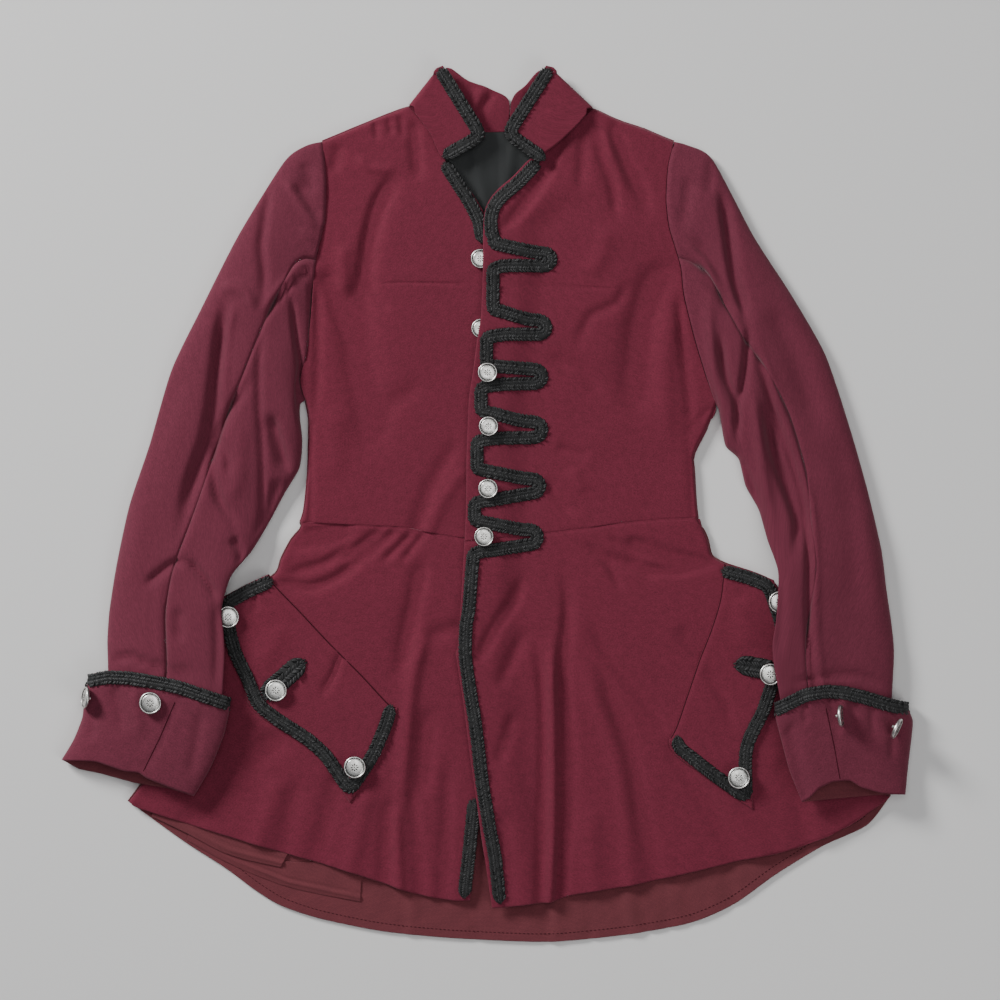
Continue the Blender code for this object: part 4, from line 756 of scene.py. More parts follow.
# %% Sleeve tables
# A row gives outer x and y, inner x and y, height, lift of the outer and of the inner side. A sleeve's row
# adds the seam's share of the width and how far the station follows the curve of the armhole.
SLEEVE_RIGHT = [
    (-163.8, 363.0, -181.0, 104.0, 11.0, 0.0, 0.0, 0.46, 1.0),
    (-180, 359, -186, 100, 12.5, 0.0, 0.0, 0.44, 0.8),
    (-202, 343, -186.5, 88, 15.0, 0.0, 0.0, 0.42, 0.5),
    (-248, 269, -184, 62, 19.0, 0.0, 0.0, 0.42, 0.12),
    (-286, 194, -187, 36, 19.0, 0.0, 0.0, 0.43, 0.0),
    (-315, 134, -201, 12, 18.0, 0.0, 0.0, 0.46, 0.0),
    (-337, 59, -217, -18, 18.0, 0.0, 1.0, 0.47, 0.0),
    (-357, -1, -234, -47, 18.0, 0.0, 8.0, 0.49, 0.0),
    (-370, -61, -254, -72, 18.0, 0.0, 16.0, 0.50, 0.0),
    (-377, -106, -263, -104, 17.5, 0.6, 19.5, 0.51, 0.0),
    (-379, -136, -261, -128, 17.0, 1.8, 20.5, 0.51, 0.0),
    (-378, -158, -260, -152, 16.0, 5.5, 21.5, 0.51, 0.0),
    (-377, -186, -263, -204, 14.5, 9.4, 21.3, 0.51, 0.0),
]
SLEEVE_LEFT = [
    (188.3, 363.0, 230.1, 99.2, 11.0, 0.0, 0.0, 0.44, 1.0),
    (203, 359, 233, 95, 12.5, 0.0, 0.0, 0.44, 0.8),
    (227, 345, 235, 84, 15.0, 0.0, 0.0, 0.45, 0.5),
    (268, 268, 240, 58, 19.0, 0.0, 0.0, 0.46, 0.12),
    (306, 209, 253, 45, 19.0, 0.0, 0.0, 0.47, 0.0),
    (340, 149, 260, 18, 18.0, 0.0, 0.0, 0.46, 0.0),
    (365, 74, 273, -6, 18.0, 0.0, 2.0, 0.50, 0.0),
    (382, 14, 281, -36, 18.0, 0.0, 10.0, 0.58, 0.0),
    (396, -46, 291, -68, 18.0, 0.0, 18.5, 0.64, 0.0),
    (401, -86, 289, -112, 17.5, 0.6, 21.0, 0.70, 0.0),
    (406, -121, 285, -140, 17.0, 1.8, 21.5, 0.72, 0.0),
    (408, -151, 287, -164, 16.0, 5.0, 21.5, 0.74, 0.0),
    (404, -216, 297, -214, 15.0, 8.0, 19.2, 0.74, 0.0),
]
CUFF_RIGHT = [
    (-396, -170, -255.5, -196, 21.0, 3.0, 18.6),
    (-402, -190, -255.5, -206, 21.0, 2.4, 18.2),
    (-404, -213, -261, -230, 21.0, 1.0, 17.4),
    (-413, -236, -274, -262, 20.0, 0.4, 16.4),
    (-425, -256, -291, -291, 18.0, 0.0, 14.4),
]
CUFF_LEFT = [
    (417, -186, 288, -197, 21.0, 3.0, 18.6),
    (425.5, -206, 288, -210, 21.0, 2.4, 18.2),
    (425, -226, 294, -234, 21.0, 1.0, 17.8),
    (422, -258, 302, -264, 20.0, 2.0, 17.5),
    (419, -290, 315, -297, 18.0, 8.2, 16.0),
]
SIDE_SHAPE = 0.62
TOP_SHAPE = 0.8
TUBE_EDGE = 5.0
TOP_DROP = 0.3
print("sleeve stations:", len(SLEEVE_RIGHT), "and", len(SLEEVE_LEFT))

# %% Folds of the sleeves and cuffs
SLEEVE_RIGHT_FOLDS = [
    (-1.3, 6, 0, "b", [(-180, 345), (-176, 306)]),
    (1.5, 4, 0, "b", [(-203, 328), (-183, 297), (-167, 270)]),
    (-1.4, 4.5, 0, "b", [(-192, 324), (-178, 300), (-164, 280)]),
    (1.0, 3, 0, "b", [(-186, 274), (-169, 261)]),
    (-2.0, 4.5, 0.3, "b", [(-216, 326), (-221, 287), (-224, 257), (-221, 227), (-224, 192)]),
    (-1.9, 2.8, 0.3, "b", [(-165, 244), (-189, 224), (-209, 204), (-222, 178)]),
    (1.2, 4, 0, "b", [(-176, 242), (-205, 217), (-226, 186)]),
    (-1.8, 3.6, 0.3, "b", [(-219, 190), (-226, 147), (-226, 97), (-223, 47), (-224, -13), (-240, -52)]),
    (1.8, 4.5, 0, "b", [(-268, 219), (-243, 214), (-226, 192)]),
    (-4.4, 8, -0.5, "b", [(-260, 216), (-264, 174), (-269, 131), (-273, 97), (-279, 64), (-289, 37),
                          (-298, 7), (-307, -44)]),
    (1.8, 4.5, 0, "b", [(-252, 204), (-260, 147), (-265, 90)]),
    (-2.7, 4.5, 0, "b", [(-230, 132), (-249, 104), (-266, 74), (-271, 54), (-273, 31), (-266, 4), (-253, -16),
                         (-247, -40)]),
    (-1.6, 3, 0, "b", [(-267, 66), (-258, 44), (-257, 26)]),
    (-2.4, 3.2, 0, "b", [(-195, 212), (-189, 161), (-184, 127), (-178, 92)]),
    (-2.8, 3.8, 0, "b", [(-174, 236), (-173, 187), (-174, 147), (-184, 106)]),
    (-3.2, 7, 0.4, "b", [(-216, 92), (-203, 47), (-194, 26)]),
    (-2.2, 6, 0, "b", [(-207, 28), (-219, -16), (-228, -34)]),
    (-1.9, 4.2, 0.4, "b", [(-342, -82), (-328, -70), (-311, -58), (-292, -57)]),
    (-2.6, 3.8, -0.4, "b", [(-300, -54), (-279, -76), (-264, -100)]),
    (-1.5, 2.5, 0, "s", [(-317, -70), (-320, -116), (-316, -176)]),
    (-1.2, 6, 0, "b", [(-306, -102), (-305, -140)]),
    (-1.6, 5, 0, "b", [(-269, -96), (-267, -140), (-268, -190)]),
    (-2.0, 3.2, 0, "b", [(-384, -160), (-356, -152), (-331, -161), (-306, -168), (-270, -174)]),
    (-2.2, 4, 0, "b", [(-254, -32), (-245, -48), (-244, -64)]),
    (0.8, 14, 0, "b", [(-330, 70), (-350, -20), (-360, -100)]),
    (-0.9, 12, 0, "b", [(-300, 150), (-330, 60), (-345, -30)]),
    (0.9, 8, 0, "b", [(-246, 90), (-246, 30), (-262, -10)]),
]
SLEEVE_LEFT_FOLDS = [
    (-3.6, 5.5, -0.4, "b", [(234, 322), (241, 271), (247, 227), (257, 194), (263, 164)]),
    (-2.3, 3.3, 0.3, "s", [(258, 182), (274, 137), (287, 94), (304, 47), (317, 1), (321, -49), (321, -126),
                           (329, -190)]),
    (1.1, 3.2, 0, "s", [(266, 182), (281, 137), (294, 94), (311, 47), (324, 1), (328, -49), (328, -126),
                        (336, -190)]),
    (-1.5, 2.8, 0, "b", [(189, 258), (211, 241), (227, 217), (244, 197), (260, 174)]),
    (1.1, 3.4, 0, "b", [(194, 262), (215, 246), (233, 221), (252, 197)]),
    (-1.9, 7, 0, "b", [(203, 270), (227, 241), (237, 214), (243, 178)]),
    (1.4, 5, 0, "b", [(222, 210), (227, 131), (243, 74)]),
    (-2.9, 4, 0.3, "b", [(233, 176), (239, 131), (251, 97), (251, 52)]),
    (-2.6, 3.8, 0, "b", [(262, 180), (259, 137), (251, 90)]),
    (-4.4, 7, -0.5, "b", [(278, 106), (287, 54), (301, 14), (311, -19), (306, -60)]),
    (1.8, 6, 0, "b", [(264, 130), (277, 31), (288, -42)]),
    (-1.7, 3.2, 0, "b", [(254, 48), (264, 24), (273, 0)]),
    (-1.9, 12, 0, "b", [(282, 204), (314, 131), (338, 60)]),
    (-1.2, 4.5, 0, "b", [(226, 345), (222, 308)]),
    (-1.3, 6, 0, "b", [(292, -56), (293, -110), (288, -160)]),
    (0.8, 14, 0, "b", [(366, 10), (392, -90), (396, -150)]),
    (-0.9, 12, 0, "b", [(346, 70), (366, -20), (368, -120)]),
    (-1.4, 5, 0, "b", [(205, 330), (200, 300), (196, 270)]),
    (-1.5, 3.2, 0, "b", [(300, -180), (330, -172), (370, -170), (404, -182)]),
]
CUFF_RIGHT_FOLDS = [
    (-1.0, 2.2, 0, "n", [(-306, -196), (-326, -246), (-342, -270)]),
    (-1.2, 6, 0, "b", [(-374, -186), (-364, -240)]),
    (1.0, 6, 0, "b", [(-354, -190), (-346, -245)]),
    (-0.9, 6, 0, "b", [(-283, -205), (-296, -280)]),
    (-0.8, 5, 0, "b", [(-392, -200), (-396, -245)]),
]
CUFF_LEFT_FOLDS = [
    (-1.4, 2.4, 0, "b", [(339, -192), (349, -236), (352, -270)]),
    (1.0, 4, 0, "b", [(356, -196), (360, -250)]),
    (-1.0, 3, 0, "b", [(316, -196), (320, -232)]),
    (-1.0, 3.5, 0, "b", [(366, -196), (368, -245)]),
    (-1.0, 3.5, 0, "b", [(384, -200), (386, -245)]),
    (-2.0, 8, 0, "n", [(302, -230), (316, -292)]),
    (-0.9, 4, 0, "b", [(404, -210), (404, -260)]),
]
print("folds of the sleeves:", len(SLEEVE_RIGHT_FOLDS) + len(SLEEVE_LEFT_FOLDS))


# %% Tube and sleeve makers
def tube(stations, across, top, folds, armhole=None, grow=0.0):
    """A grid on a flattened tube. Across is each point's share of the width, top says which side."""
    ox, oy, ix, iy, height, lift_outer, lift_inner = (stations[:, c, None] for c in range(7))
    round_off = np.abs(1 - 2 * across) ** (1 / SIDE_SHAPE)
    rise = np.clip(1 - round_off ** 2, 0, 1) ** (TOP_SHAPE / 2)
    lift = lift_outer + (lift_inner - lift_outer) * across
    x = ox + (ix - ox) * across
    y = oy + (iy - oy) * across
    if armhole is not None:
        curve = soft_line(armhole, 97)
        place = np.linspace(0, 1, 97)
        follow = stations[:, 8, None]
        x = x + follow * (np.interp(across, place, curve[:, 0])
                          - (curve[0, 0] + (curve[-1, 0] - curve[0, 0]) * across))
        y = y + follow * (np.interp(across, place, curve[:, 1])
                          - (curve[0, 1] + (curve[-1, 1] - curve[0, 1]) * across))
    upper = (height - TUBE_EDGE - TOP_DROP * lift + grow) * rise
    upper = upper + relief(x, y, folds) * np.minimum(rise * 1.2, 1)
    upper = upper + waves(x, y, 41, 60, 0.5) * rise
    z = lift + TUBE_EDGE + np.where(top, np.maximum(upper, 0.6 * rise), -(TUBE_EDGE + grow) * rise)
    return x, y, z


def crowd(start, end, count):
    """Values from start to end that crowd towards the end."""
    return start + (end - start) * (1 - (1 - np.linspace(0, 1, count)) ** 1.8)


SLEEVE_ROWS = 132
TOP_POINTS = 38
LOWER_POINTS = 18
SEAM_DIP = 0.9
SEAM_DIP_WIDTH = 1.6


def sleeve(side, table, folds, armhole):
    """Upper and under sleeve. Both start at the front seam and go round their own side fold."""
    stations = soft_line(table, SLEEVE_ROWS)
    seam = stations[:, 7, None]
    top = np.tile(np.array([True] * TOP_POINTS + [False] * LOWER_POINTS), (SLEEVE_ROWS, 1))
    for part, fold in (("upper", 0), ("under", 1)):
        across = np.hstack([seam + (fold - seam) * crowd(0, 1, TOP_POINTS)[None, :],
                            np.tile(crowd(0.5, fold, LOWER_POINTS)[::-1], (SLEEVE_ROWS, 1))])
        x, y, z = tube(stations, across, top, folds, armhole)
        near_seam = np.abs(across - seam) * np.hypot(stations[:, 2] - stations[:, 0],
                                                     stations[:, 3] - stations[:, 1])[:, None]
        z = z - np.where(top, SEAM_DIP * np.exp(-(near_seam / SEAM_DIP_WIDTH) ** 2), 0)
        cloth("%s_sleeve_%s" % (side, part), x, y, z, sleeve_wool, satin_lining, outward="away",
              stands_for=["sleeve_%s_%s" % (side, part)], rests_on=["%s_front_skirt" % side])


sleeve("right", SLEEVE_RIGHT, SLEEVE_RIGHT_FOLDS, ARMHOLE_RIGHT)
sleeve("left", SLEEVE_LEFT, SLEEVE_LEFT_FOLDS, ARMHOLE_LEFT)


# %% How the cuffs' edges bow, as (share of the width, mm towards the hand)
CUFF_EDGES = {
    "right": {"upper": [(0, 0), (0.06, -4), (0.13, -8.4), (0.29, -11), (0.46, -11), (0.64, -9.7),
                        (0.82, -5), (1, 0)],
              "mouth": [(0, 0), (0.14, -5), (0.25, -8.5), (0.47, -6.5), (0.57, -9), (0.64, -5.5),
                        (0.81, -2.5), (1, 0)],
              "under": [(0, 0), (0.14, 5), (0.3, 3.5), (0.55, 3.6), (0.8, 0), (1, 0)]},
    "left": {"upper": [(0, 12), (0.14, 6.5), (0.29, -2), (0.45, -9), (0.6, -12), (0.76, -10),
                       (0.91, -2), (1, 3)],
             "mouth": [(0, 0), (0.23, -3.6), (0.42, -11), (0.52, -19), (0.69, -19), (0.83, -13),
                       (0.93, -4), (1, 0)],
             "under": [(0, 0), (0.3, -1), (1, 0)]},
}
CUFF_ROWS = 50
CUFF_POINTS = 34

# %% Cuffs
def cuff_grid(side, stations, rows, across, top, folds, grow=0.0):
    """Points on a cuff whose two edges are bowed."""
    x, y, z = tube(stations[rows], across, top, folds, grow=grow)
    middle = (stations[:, 0:2] + stations[:, 2:4]) / 2
    way = (middle[-1] - middle[0]) / np.hypot(*(middle[-1] - middle[0]))
    share = np.array(rows)[:, None] / (len(stations) - 1)
    bows = {key: np.interp(across, *np.array(line, float).T) for key, line in CUFF_EDGES[side].items()}
    ends = CUFF_EDGES[side]["upper"]
    below = np.interp(across, [0, 1], [ends[0][1], ends[-1][1]])
    move = ((1 - share) * np.where(top, bows["upper"], below)
            + share * np.where(top, bows["mouth"], bows["under"]))
    return x + move * way[0], y + move * way[1], z


def cuff(side, table, folds):
    """A turned back cuff: one closed band, open at both ends."""
    stations = soft_line(table, CUFF_ROWS)
    half = np.concatenate([crowd(0.5, 0, CUFF_POINTS)[::-1], crowd(0.5, 1, CUFF_POINTS)[1:]])
    across = np.tile(np.concatenate([half, half[::-1][1:-1]]), (CUFF_ROWS, 1))
    top = np.tile(np.array([True] * len(half) + [False] * (len(half) - 2)), (CUFF_ROWS, 1))
    x, y, z = cuff_grid(side, stations, list(range(CUFF_ROWS)), across, top, folds)
    cloth("%s_cuff" % side, x, y, z, sleeve_wool, inside_wool, outward="away", closed=True,
          stands_for=["cuff_%s" % side], held="folded",
          rests_on=["%s_sleeve_under" % side, "%s_front_skirt" % side])
    face = slice(0, len(half))
    return stations, Lie((x[:, face], y[:, face], z[:, face]))


cuff_right, cuff_right_lie = cuff("right", CUFF_RIGHT, CUFF_RIGHT_FOLDS)
cuff_left, cuff_left_lie = cuff("left", CUFF_LEFT, CUFF_LEFT_FOLDS)

# %% [markdown]
# ## The stand collar
# The collar stands when worn. Laid flat it folds at its two sides, so that its back shows its inner face
# through the neck and its two front ends lie on top. Each half is one strip: the back leaf on the ground,
# round the side fold, and the front leaf above.

# %% Collar halves
COLLAR_LOW = 2.0
COLLAR_TOP = 13.6
COLLAR_ROWS = 34
COLLAR_COLUMNS = 26
# Each half: side fold, front edge, top of the front leaf, its low edge, top of the back leaf, its low edge
COLLAR_RIGHT = (
    [(-56, 426), (-77.2, 399)],
    [(-43, 438), (-28, 412), (-12, 385), (-1, 367)],
    [(-56, 426), (-51, 433), (-43, 438)],
    [(-77.2, 399), (-57, 372), (-43.6, 346), (-22, 356.5), (-1, 367)],
    [(-56, 426), (-41, 435), (-23, 425), (-2, 418), (17, 410), (23, 404), (23.8, 394)],
    [(-77.2, 399), (-65, 384), (-40, 375), (0, 373), (23.8, 373)],
)
COLLAR_LEFT = (
    [(75, 427), (106.8, 397)],
    [(60, 438), (47, 412), (31, 388), (19, 371)],
    [(75, 427), (69, 434), (60, 438)],
    [(106.8, 397), (93, 381), (73, 362), (51, 347), (36, 357), (19, 371)],
    [(75, 427), (57, 433), (42, 420), (31, 412), (26, 404), (24.2, 394)],
    [(106.8, 397), (93, 382.6), (62, 374.5), (40, 373), (24.2, 373)],
)
COLLAR_FOLDS = [
    (-0.9, 3, 0, "b", [(-32, 432), (-39, 405), (-38, 390)]),
    (1.0, 3, 0, "b", [(-24, 428), (-32, 405), (-30, 386)]),
    (1.3, 3.4, 0, "b", [(0, 420), (-13, 396), (-12, 374)]),
    (-1.0, 4, 0, "b", [(10, 416), (-4, 396), (-2, 374)]),
    (-0.8, 4, 0, "b", [(44, 418), (40, 395), (44, 376)]),
]


def coons(top, bottom, left, right, s, t):
    """One patch as arrays, s across and t down, from four lines of equal length."""
    place = np.linspace(0, 1, len(top))
    a, b, c, d = (np.stack([np.interp(v, place, line[:, k]) for k in range(2)], axis=-1)
                  for line, v in ((top, s), (bottom, s), (left, t), (right, t)))
    s = s[..., None]
    t = t[..., None]
    corner = ((1 - s) * (1 - t) * top[0] + s * (1 - t) * top[-1] + (1 - s) * t * bottom[0]
              + s * t * bottom[-1])
    return (1 - t) * a + t * b + (1 - s) * c + s * d - corner


def collar(name, node, spec):
    """Back leaf, side fold and front leaf as one grid."""
    fold, front_edge, front_top, front_low, back_top, back_low = spec
    t = np.linspace(0, 1, COLLAR_ROWS)
    lines = [soft_line(edge, EDGE_POINTS) for edge in (fold, front_edge, front_top, front_low, back_top,
                                                       back_low)]
    back_end = soft_line([back_top[-1], back_low[-1]], EDGE_POINTS)
    radius = 0.5 * (COLLAR_TOP - COLLAR_LOW)
    start = lines[0][np.round(t * (EDGE_POINTS - 1)).astype(int)]
    grid = []
    for s_from, s_to, edges in ((1.0, 0.0, (lines[4], lines[5], lines[0], back_end)),
                                (0.0, 1.0, (lines[2], lines[3], lines[0], lines[1]))):
        s, tt = np.meshgrid(np.linspace(s_from, s_to, COLLAR_COLUMNS), t)
        grid.append(coons(*edges, s, tt))
    columns = []
    for leaf, level in zip(grid, (COLLAR_LOW, COLLAR_TOP)):
        away = np.hypot(leaf[..., 0] - start[:, None, 0], leaf[..., 1] - start[:, None, 1])
        reach = away.max(axis=1, keepdims=True)
        own = np.minimum(radius, 0.45 * reach)
        push = own + (reach - own) * (away / reach)
        direction = (leaf - start[:, None]) / np.maximum(away, 1e-6)[..., None]
        far = leaf[:, :1] if level == COLLAR_LOW else leaf[:, -1:]
        direction = np.where((away < 1.0)[..., None], (far - start[:, None]) / reach[..., None], direction)
        place = start[:, None] + direction * push[..., None]
        z = np.full(away.shape, level)
        if level == COLLAR_LOW:
            z = z + 0.8 + relief(place[..., 0], place[..., 1], COLLAR_FOLDS)
        else:
            z = z + waves(place[..., 0], place[..., 1], 51, 40, 0.2)
        columns.append(np.concatenate([place, z[..., None]], axis=2))
    back, front = columns
    own = np.hypot(back[:, -1, 0] - start[:, 0], back[:, -1, 1] - start[:, 1])
    turn = []
    for angle in np.radians([-68, -45, -22, 0, 22, 45, 68]):
        mix = 0.5 + 0.5 * math.sin(angle)
        way = ((back[:, -1, :2] - start) * (1 - mix) + (front[:, 0, :2] - start) * mix) / own[:, None]
        inward = own * (1 - math.cos(angle))
        level = back[:, -1, 2] * (1 - mix) + front[:, 0, 2] * mix
        turn.append(np.column_stack([start + way * inward[:, None], level]))
    whole = np.concatenate([back, np.stack(turn, axis=1), front], axis=1)
    x, y, z = whole[..., 0], whole[..., 1], whole[..., 2]
    cloth(name, x, y, z, burgundy_wool, burgundy_wool, outward="away", stands_for=[node], held="folded",
          thick=1.3, rests_on=["back_body"])
    return front[..., 0], front[..., 1], front[..., 2]


collar_right = collar("right_collar", "collar_right", COLLAR_RIGHT)
collar_left = collar("left_collar", "collar_left", COLLAR_LEFT)

# %% [markdown]
# ## Pocket flaps
# Each flap is sewn into a slanting seam of the skirt and lies on it. It takes its height from the cloth
# below, so it never cuts into a fold.

# %% Flaps
FLAP_RIGHT = ([(-217, -70), (-243, -82), (-268, -96)],
              [(-88, -204), (-94, -225), (-107, -255), (-136, -299)],
              [(-217, -70), (-211, -81), (-186, -107), (-157, -138), (-125, -170), (-98, -199), (-88, -204)],
              [(-268, -96), (-263, -129), (-258, -150), (-244, -179), (-234, -205), (-210, -223),
               (-183, -240), (-166, -255), (-136, -299)])
FLAP_LEFT = ([(238, -60), (262, -66), (288, -76)],
             [(184, -234), (186, -247), (222, -275), (267, -306)],
             [(238, -60), (234, -95), (225, -125), (213, -156), (202, -188), (190, -223), (184, -234)],
             [(288, -76), (303, -120), (302, -160), (290, -190), (284, -210), (274, -228), (267, -245),
              (266, -266), (267, -306)])
FLAP_FOLDS = [
    (-1.3, 4, 0, "b", [(-144, -146), (-152, -170), (-168, -196)]),
    (-1.0, 3, 0, "b", [(-234, -90), (-230, -110)]),
    (0.8, 12, 0, "b", [(-200, -120), (-230, -170)]),
    (0.8, 12, 0, "b", [(255, -90), (262, -150)]),
    (-0.9, 6, 0, "b", [(216, -160), (236, -190), (250, -230)]),
]


def flap(side, edges, lie):
    """A flap laid on the skirt."""
    top, low, seam, outer = edges
    x, y = patch(top, low, seam, outer, 3.0)
    under = np.array([[lie.at(px, py)[0] for px, py in zip(row_x, row_y)] for row_x, row_y in zip(x, y)])
    z = np.maximum(under, BODY_TOP) + CLOTH + 0.5 + relief(x, y, FLAP_FOLDS)
    for line in (top, low, outer):
        z -= 0.8 * (1 - turn_down(distance_to(x, y, line)[0], 1.8))
    z -= 1.3 * np.exp(-(distance_to(x, y, seam)[0] / 2.4) ** 2)
    cloth("%s_flap" % side, x, y, z, burgundy_wool, satin_lining, stands_for=["pocket_flap_%s" % side],
          rests_on=["%s_front_skirt" % side])
    return Lie((x, y, z))


flap_right = flap("right", FLAP_RIGHT, under_front)
flap_left = flap("left", FLAP_LEFT, over_front)

# %% [markdown]
# ## Braid
# Gimp braid is a plait of thin strands, whose lobes cross at a slant and give it a scalloped edge. That
# repeats along a path, so Geometry Nodes make it: the path is resampled at the plait's pitch, and four
# slanting lobes side by side are set on each point, turned along the path and square to the cloth under
# it, whose normal the path carries as an attribute. A thin core ribbon underneath closes the gaps.

# %% The braid as geometry nodes
plait = new_tree("plaited_braid", "GeometryNodeTree",
                 [("Geometry", "Geometry", None), ("Pitch", "Float", 0.0024), ("Width", "Float", 0.014),
                  ("Strand", "Float", 0.0022), ("Slant", "Float", 0.62), ("Seed", "Int", 3),
                  ("Material", "Material", None)], [("Geometry", "Geometry")])
asked = put(plait, "NodeGroupInput").outputs
path = put(plait, "GeometryNodeMeshToCurve", {"Mesh": asked["Geometry"]}).outputs[0]
beads = put(plait, "GeometryNodeResampleCurve", {"Curve": path, "Length": asked["Pitch"]}, mode="LENGTH")
ball = put(plait, "GeometryNodeMeshUVSphere", {"Segments": 6, "Rings": 4, "Radius": 1.0}).outputs[0]
sizes = put(plait, "ShaderNodeCombineXYZ", {0: asked["Width"], 1: asked["Strand"], 2: asked["Strand"]})
lobe_size = put(plait, "ShaderNodeVectorMath", {0: sizes.outputs[0], 1: (0.20, 0.54, 0.32)},
                operation="MULTIPLY").outputs[0]
lobes = []
for column, hand in ((-0.37, 1), (-0.125, -1), (0.125, 1), (0.37, -1)):
    off = put(plait, "ShaderNodeMath", {0: asked["Width"], 1: column}, operation="MULTIPLY").outputs[0]
    shift = put(plait, "ShaderNodeCombineXYZ", {1: off}).outputs[0]
    lean = put(plait, "ShaderNodeMath", {0: asked["Slant"], 1: float(hand)}, operation="MULTIPLY").outputs[0]
    turned = put(plait, "ShaderNodeCombineXYZ", {2: lean}).outputs[0]
    lobes.append(put(plait, "GeometryNodeTransform", {"Geometry": ball, "Translation": shift,
                                                      "Rotation": turned, "Scale": lobe_size}).outputs[0])
row = put(plait, "GeometryNodeJoinGeometry")
for lobe in lobes:
    plait.links.new(lobe, row.inputs[0])
along = put(plait, "GeometryNodeInputTangent").outputs[0]
lie = put(plait, "GeometryNodeInputNamedAttribute", {"Name": "cloth_normal"}, data_type="FLOAT_VECTOR")
facing = put(plait, "FunctionNodeAlignRotationToVector", {"Vector": along}, axis="X").outputs[0]
facing = put(plait, "FunctionNodeAlignRotationToVector", {"Rotation": facing, "Vector": lie.outputs[0]},
             axis="Z", pivot_axis="X").outputs[0]
jitter = put(plait, "FunctionNodeRandomValue", {"Seed": asked["Seed"]}, data_type="FLOAT_VECTOR")
jitter.inputs[0].default_value = (-0.2, -0.2, -0.2)
jitter.inputs[1].default_value = (0.2, 0.2, 0.2)
shake = put(plait, "FunctionNodeEulerToRotation", {0: jitter.outputs[0]}).outputs[0]
facing = put(plait, "FunctionNodeRotateRotation", {0: facing, 1: shake}, rotation_space="LOCAL").outputs[0]
narrow = put(plait, "GeometryNodeInputNamedAttribute", {"Name": "width_share"}, data_type="FLOAT").outputs[0]
squeeze = put(plait, "ShaderNodeCombineXYZ", {0: 1.0, 1: narrow, 2: 1.0}).outputs[0]
strung = put(plait, "GeometryNodeInstanceOnPoints", {"Points": beads.outputs[0], "Instance": row.outputs[0],
                                                     "Rotation": facing, "Scale": squeeze}).outputs[0]
real = put(plait, "GeometryNodeRealizeInstances", {"Geometry": strung}).outputs[0]
smooth = put(plait, "GeometryNodeSetShadeSmooth", {0: real}).outputs[0]
done = put(plait, "GeometryNodeSetMaterial", {"Geometry": smooth, "Material": asked["Material"]}).outputs[0]
put(plait, "NodeGroupOutput", {0: done})
print("geometry nodes:", plait.name, len(plait.nodes), "nodes")


# %% Growing a piece from a tree
def grow(piece, tree, **values):
    """Run a tree on a piece, keep the result as a plain mesh and take the modifier off."""
    run = piece.modifiers.new(tree.name, "NODES")
    run.node_group = tree
    for item in tree.interface.items_tree:
        if item.in_out == "INPUT" and item.name.replace(" ", "_") in values:
            run[item.identifier] = values[item.name.replace(" ", "_")]
    bpy.context.view_layer.update()
    shape = piece.evaluated_get(bpy.context.evaluated_depsgraph_get())
    mesh = bpy.data.meshes.new_from_object(shape)
    piece.modifiers.clear()
    piece.data = mesh


def rounded_ends(points, reach):
    """Each point's share of the full width: 1, but rounded off near both ends."""
    run = np.concatenate([[0], np.cumsum(np.linalg.norm(np.diff(np.array(points), axis=0), axis=1))])
    if reach == 0:
        return np.ones(len(run))
    short = 1 - np.clip(np.minimum(run, run[-1] - run) / reach, 0, 1)
    return np.maximum(np.sqrt(1 - short * short), 0.3)


def path_object(name, points, normals, shares=None):
    """A line of edges that carries the cloth's normal and its own width."""
    mesh = bpy.data.meshes.new(name)
    mesh.from_pydata(points, [(i, i + 1) for i in range(len(points) - 1)], [])
    lie = mesh.attributes.new("cloth_normal", "FLOAT_VECTOR", "POINT")
    lie.data.foreach_set("vector", [c for n in normals for c in n])
    width = mesh.attributes.new("width_share", "FLOAT", "POINT")
    width.data.foreach_set("value", [1.0] * len(points) if shares is None else list(shares))
    return link(name, mesh)


def core_ribbon(points, normals, widths, thick):
    """Vertices and faces of a low closed ribbon under the plait."""
    vertices = []
    faces = []
    profile = [(-0.5, 0.0), (-0.47, 0.7), (-0.2, 1.0), (0.2, 1.0), (0.47, 0.7), (0.5, 0.0)]
    for i, (point, normal) in enumerate(zip(points, normals)):
        ahead = Vector(points[min(i + 1, len(points) - 1)]) - Vector(points[max(i - 1, 0)])
        side = Vector(normal).cross(ahead).normalized()
        for offset, rise in profile:
            vertices.append(Vector(point) + side * widths[i] * offset
                            + Vector(normal) * thick * (rise - 0.75))
    size = len(profile)
    for i in range(len(points) - 1):
        for k in range(size):
            a = i * size + k
            b = i * size + (k + 1) % size
            faces.append((a, a + size, b + size, b))
    faces.append(tuple(range(size)))
    faces.append(tuple(range(len(vertices) - 1, len(vertices) - 1 - size, -1)))
    return vertices, faces


def braid(name, node, points, normals, width=14.0, seed=3, strand=2.0, pitch=2.0, taper=0.5):
    """A braid along points in metres: plait and core in one piece."""
    shares = rounded_ends(points, taper * width * MM)
    piece = path_object(name, points, normals, shares)
    grow(piece, plait, Pitch=pitch * MM, Width=width * MM, Strand=strand * MM, Slant=0.72, Seed=seed,
         Material=black_gimp)
    plaited = piece.data
    vertices, faces = core_ribbon(points, normals, (width - 1.2) * MM * shares, 1.3 * MM)
    both = bpy.data.meshes.new(name)
    total = [tuple(v.co) for v in plaited.vertices] + [tuple(v) for v in vertices]
    shift = len(plaited.vertices)
    all_faces = [tuple(p.vertices) for p in plaited.polygons] + [tuple(i + shift for i in f) for f in faces]
    both.from_pydata(total, [], all_faces)
    both.materials.append(black_gimp)
    both.materials.append(gimp_core)
    both.polygons.foreach_set("material_index", [0] * len(plaited.polygons) + [1] * len(faces))
    both.shade_smooth()
    piece.data = both
    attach(piece, "root")
    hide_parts(node)
    print("%-18s %d lobes' faces" % (name, len(plaited.polygons)))


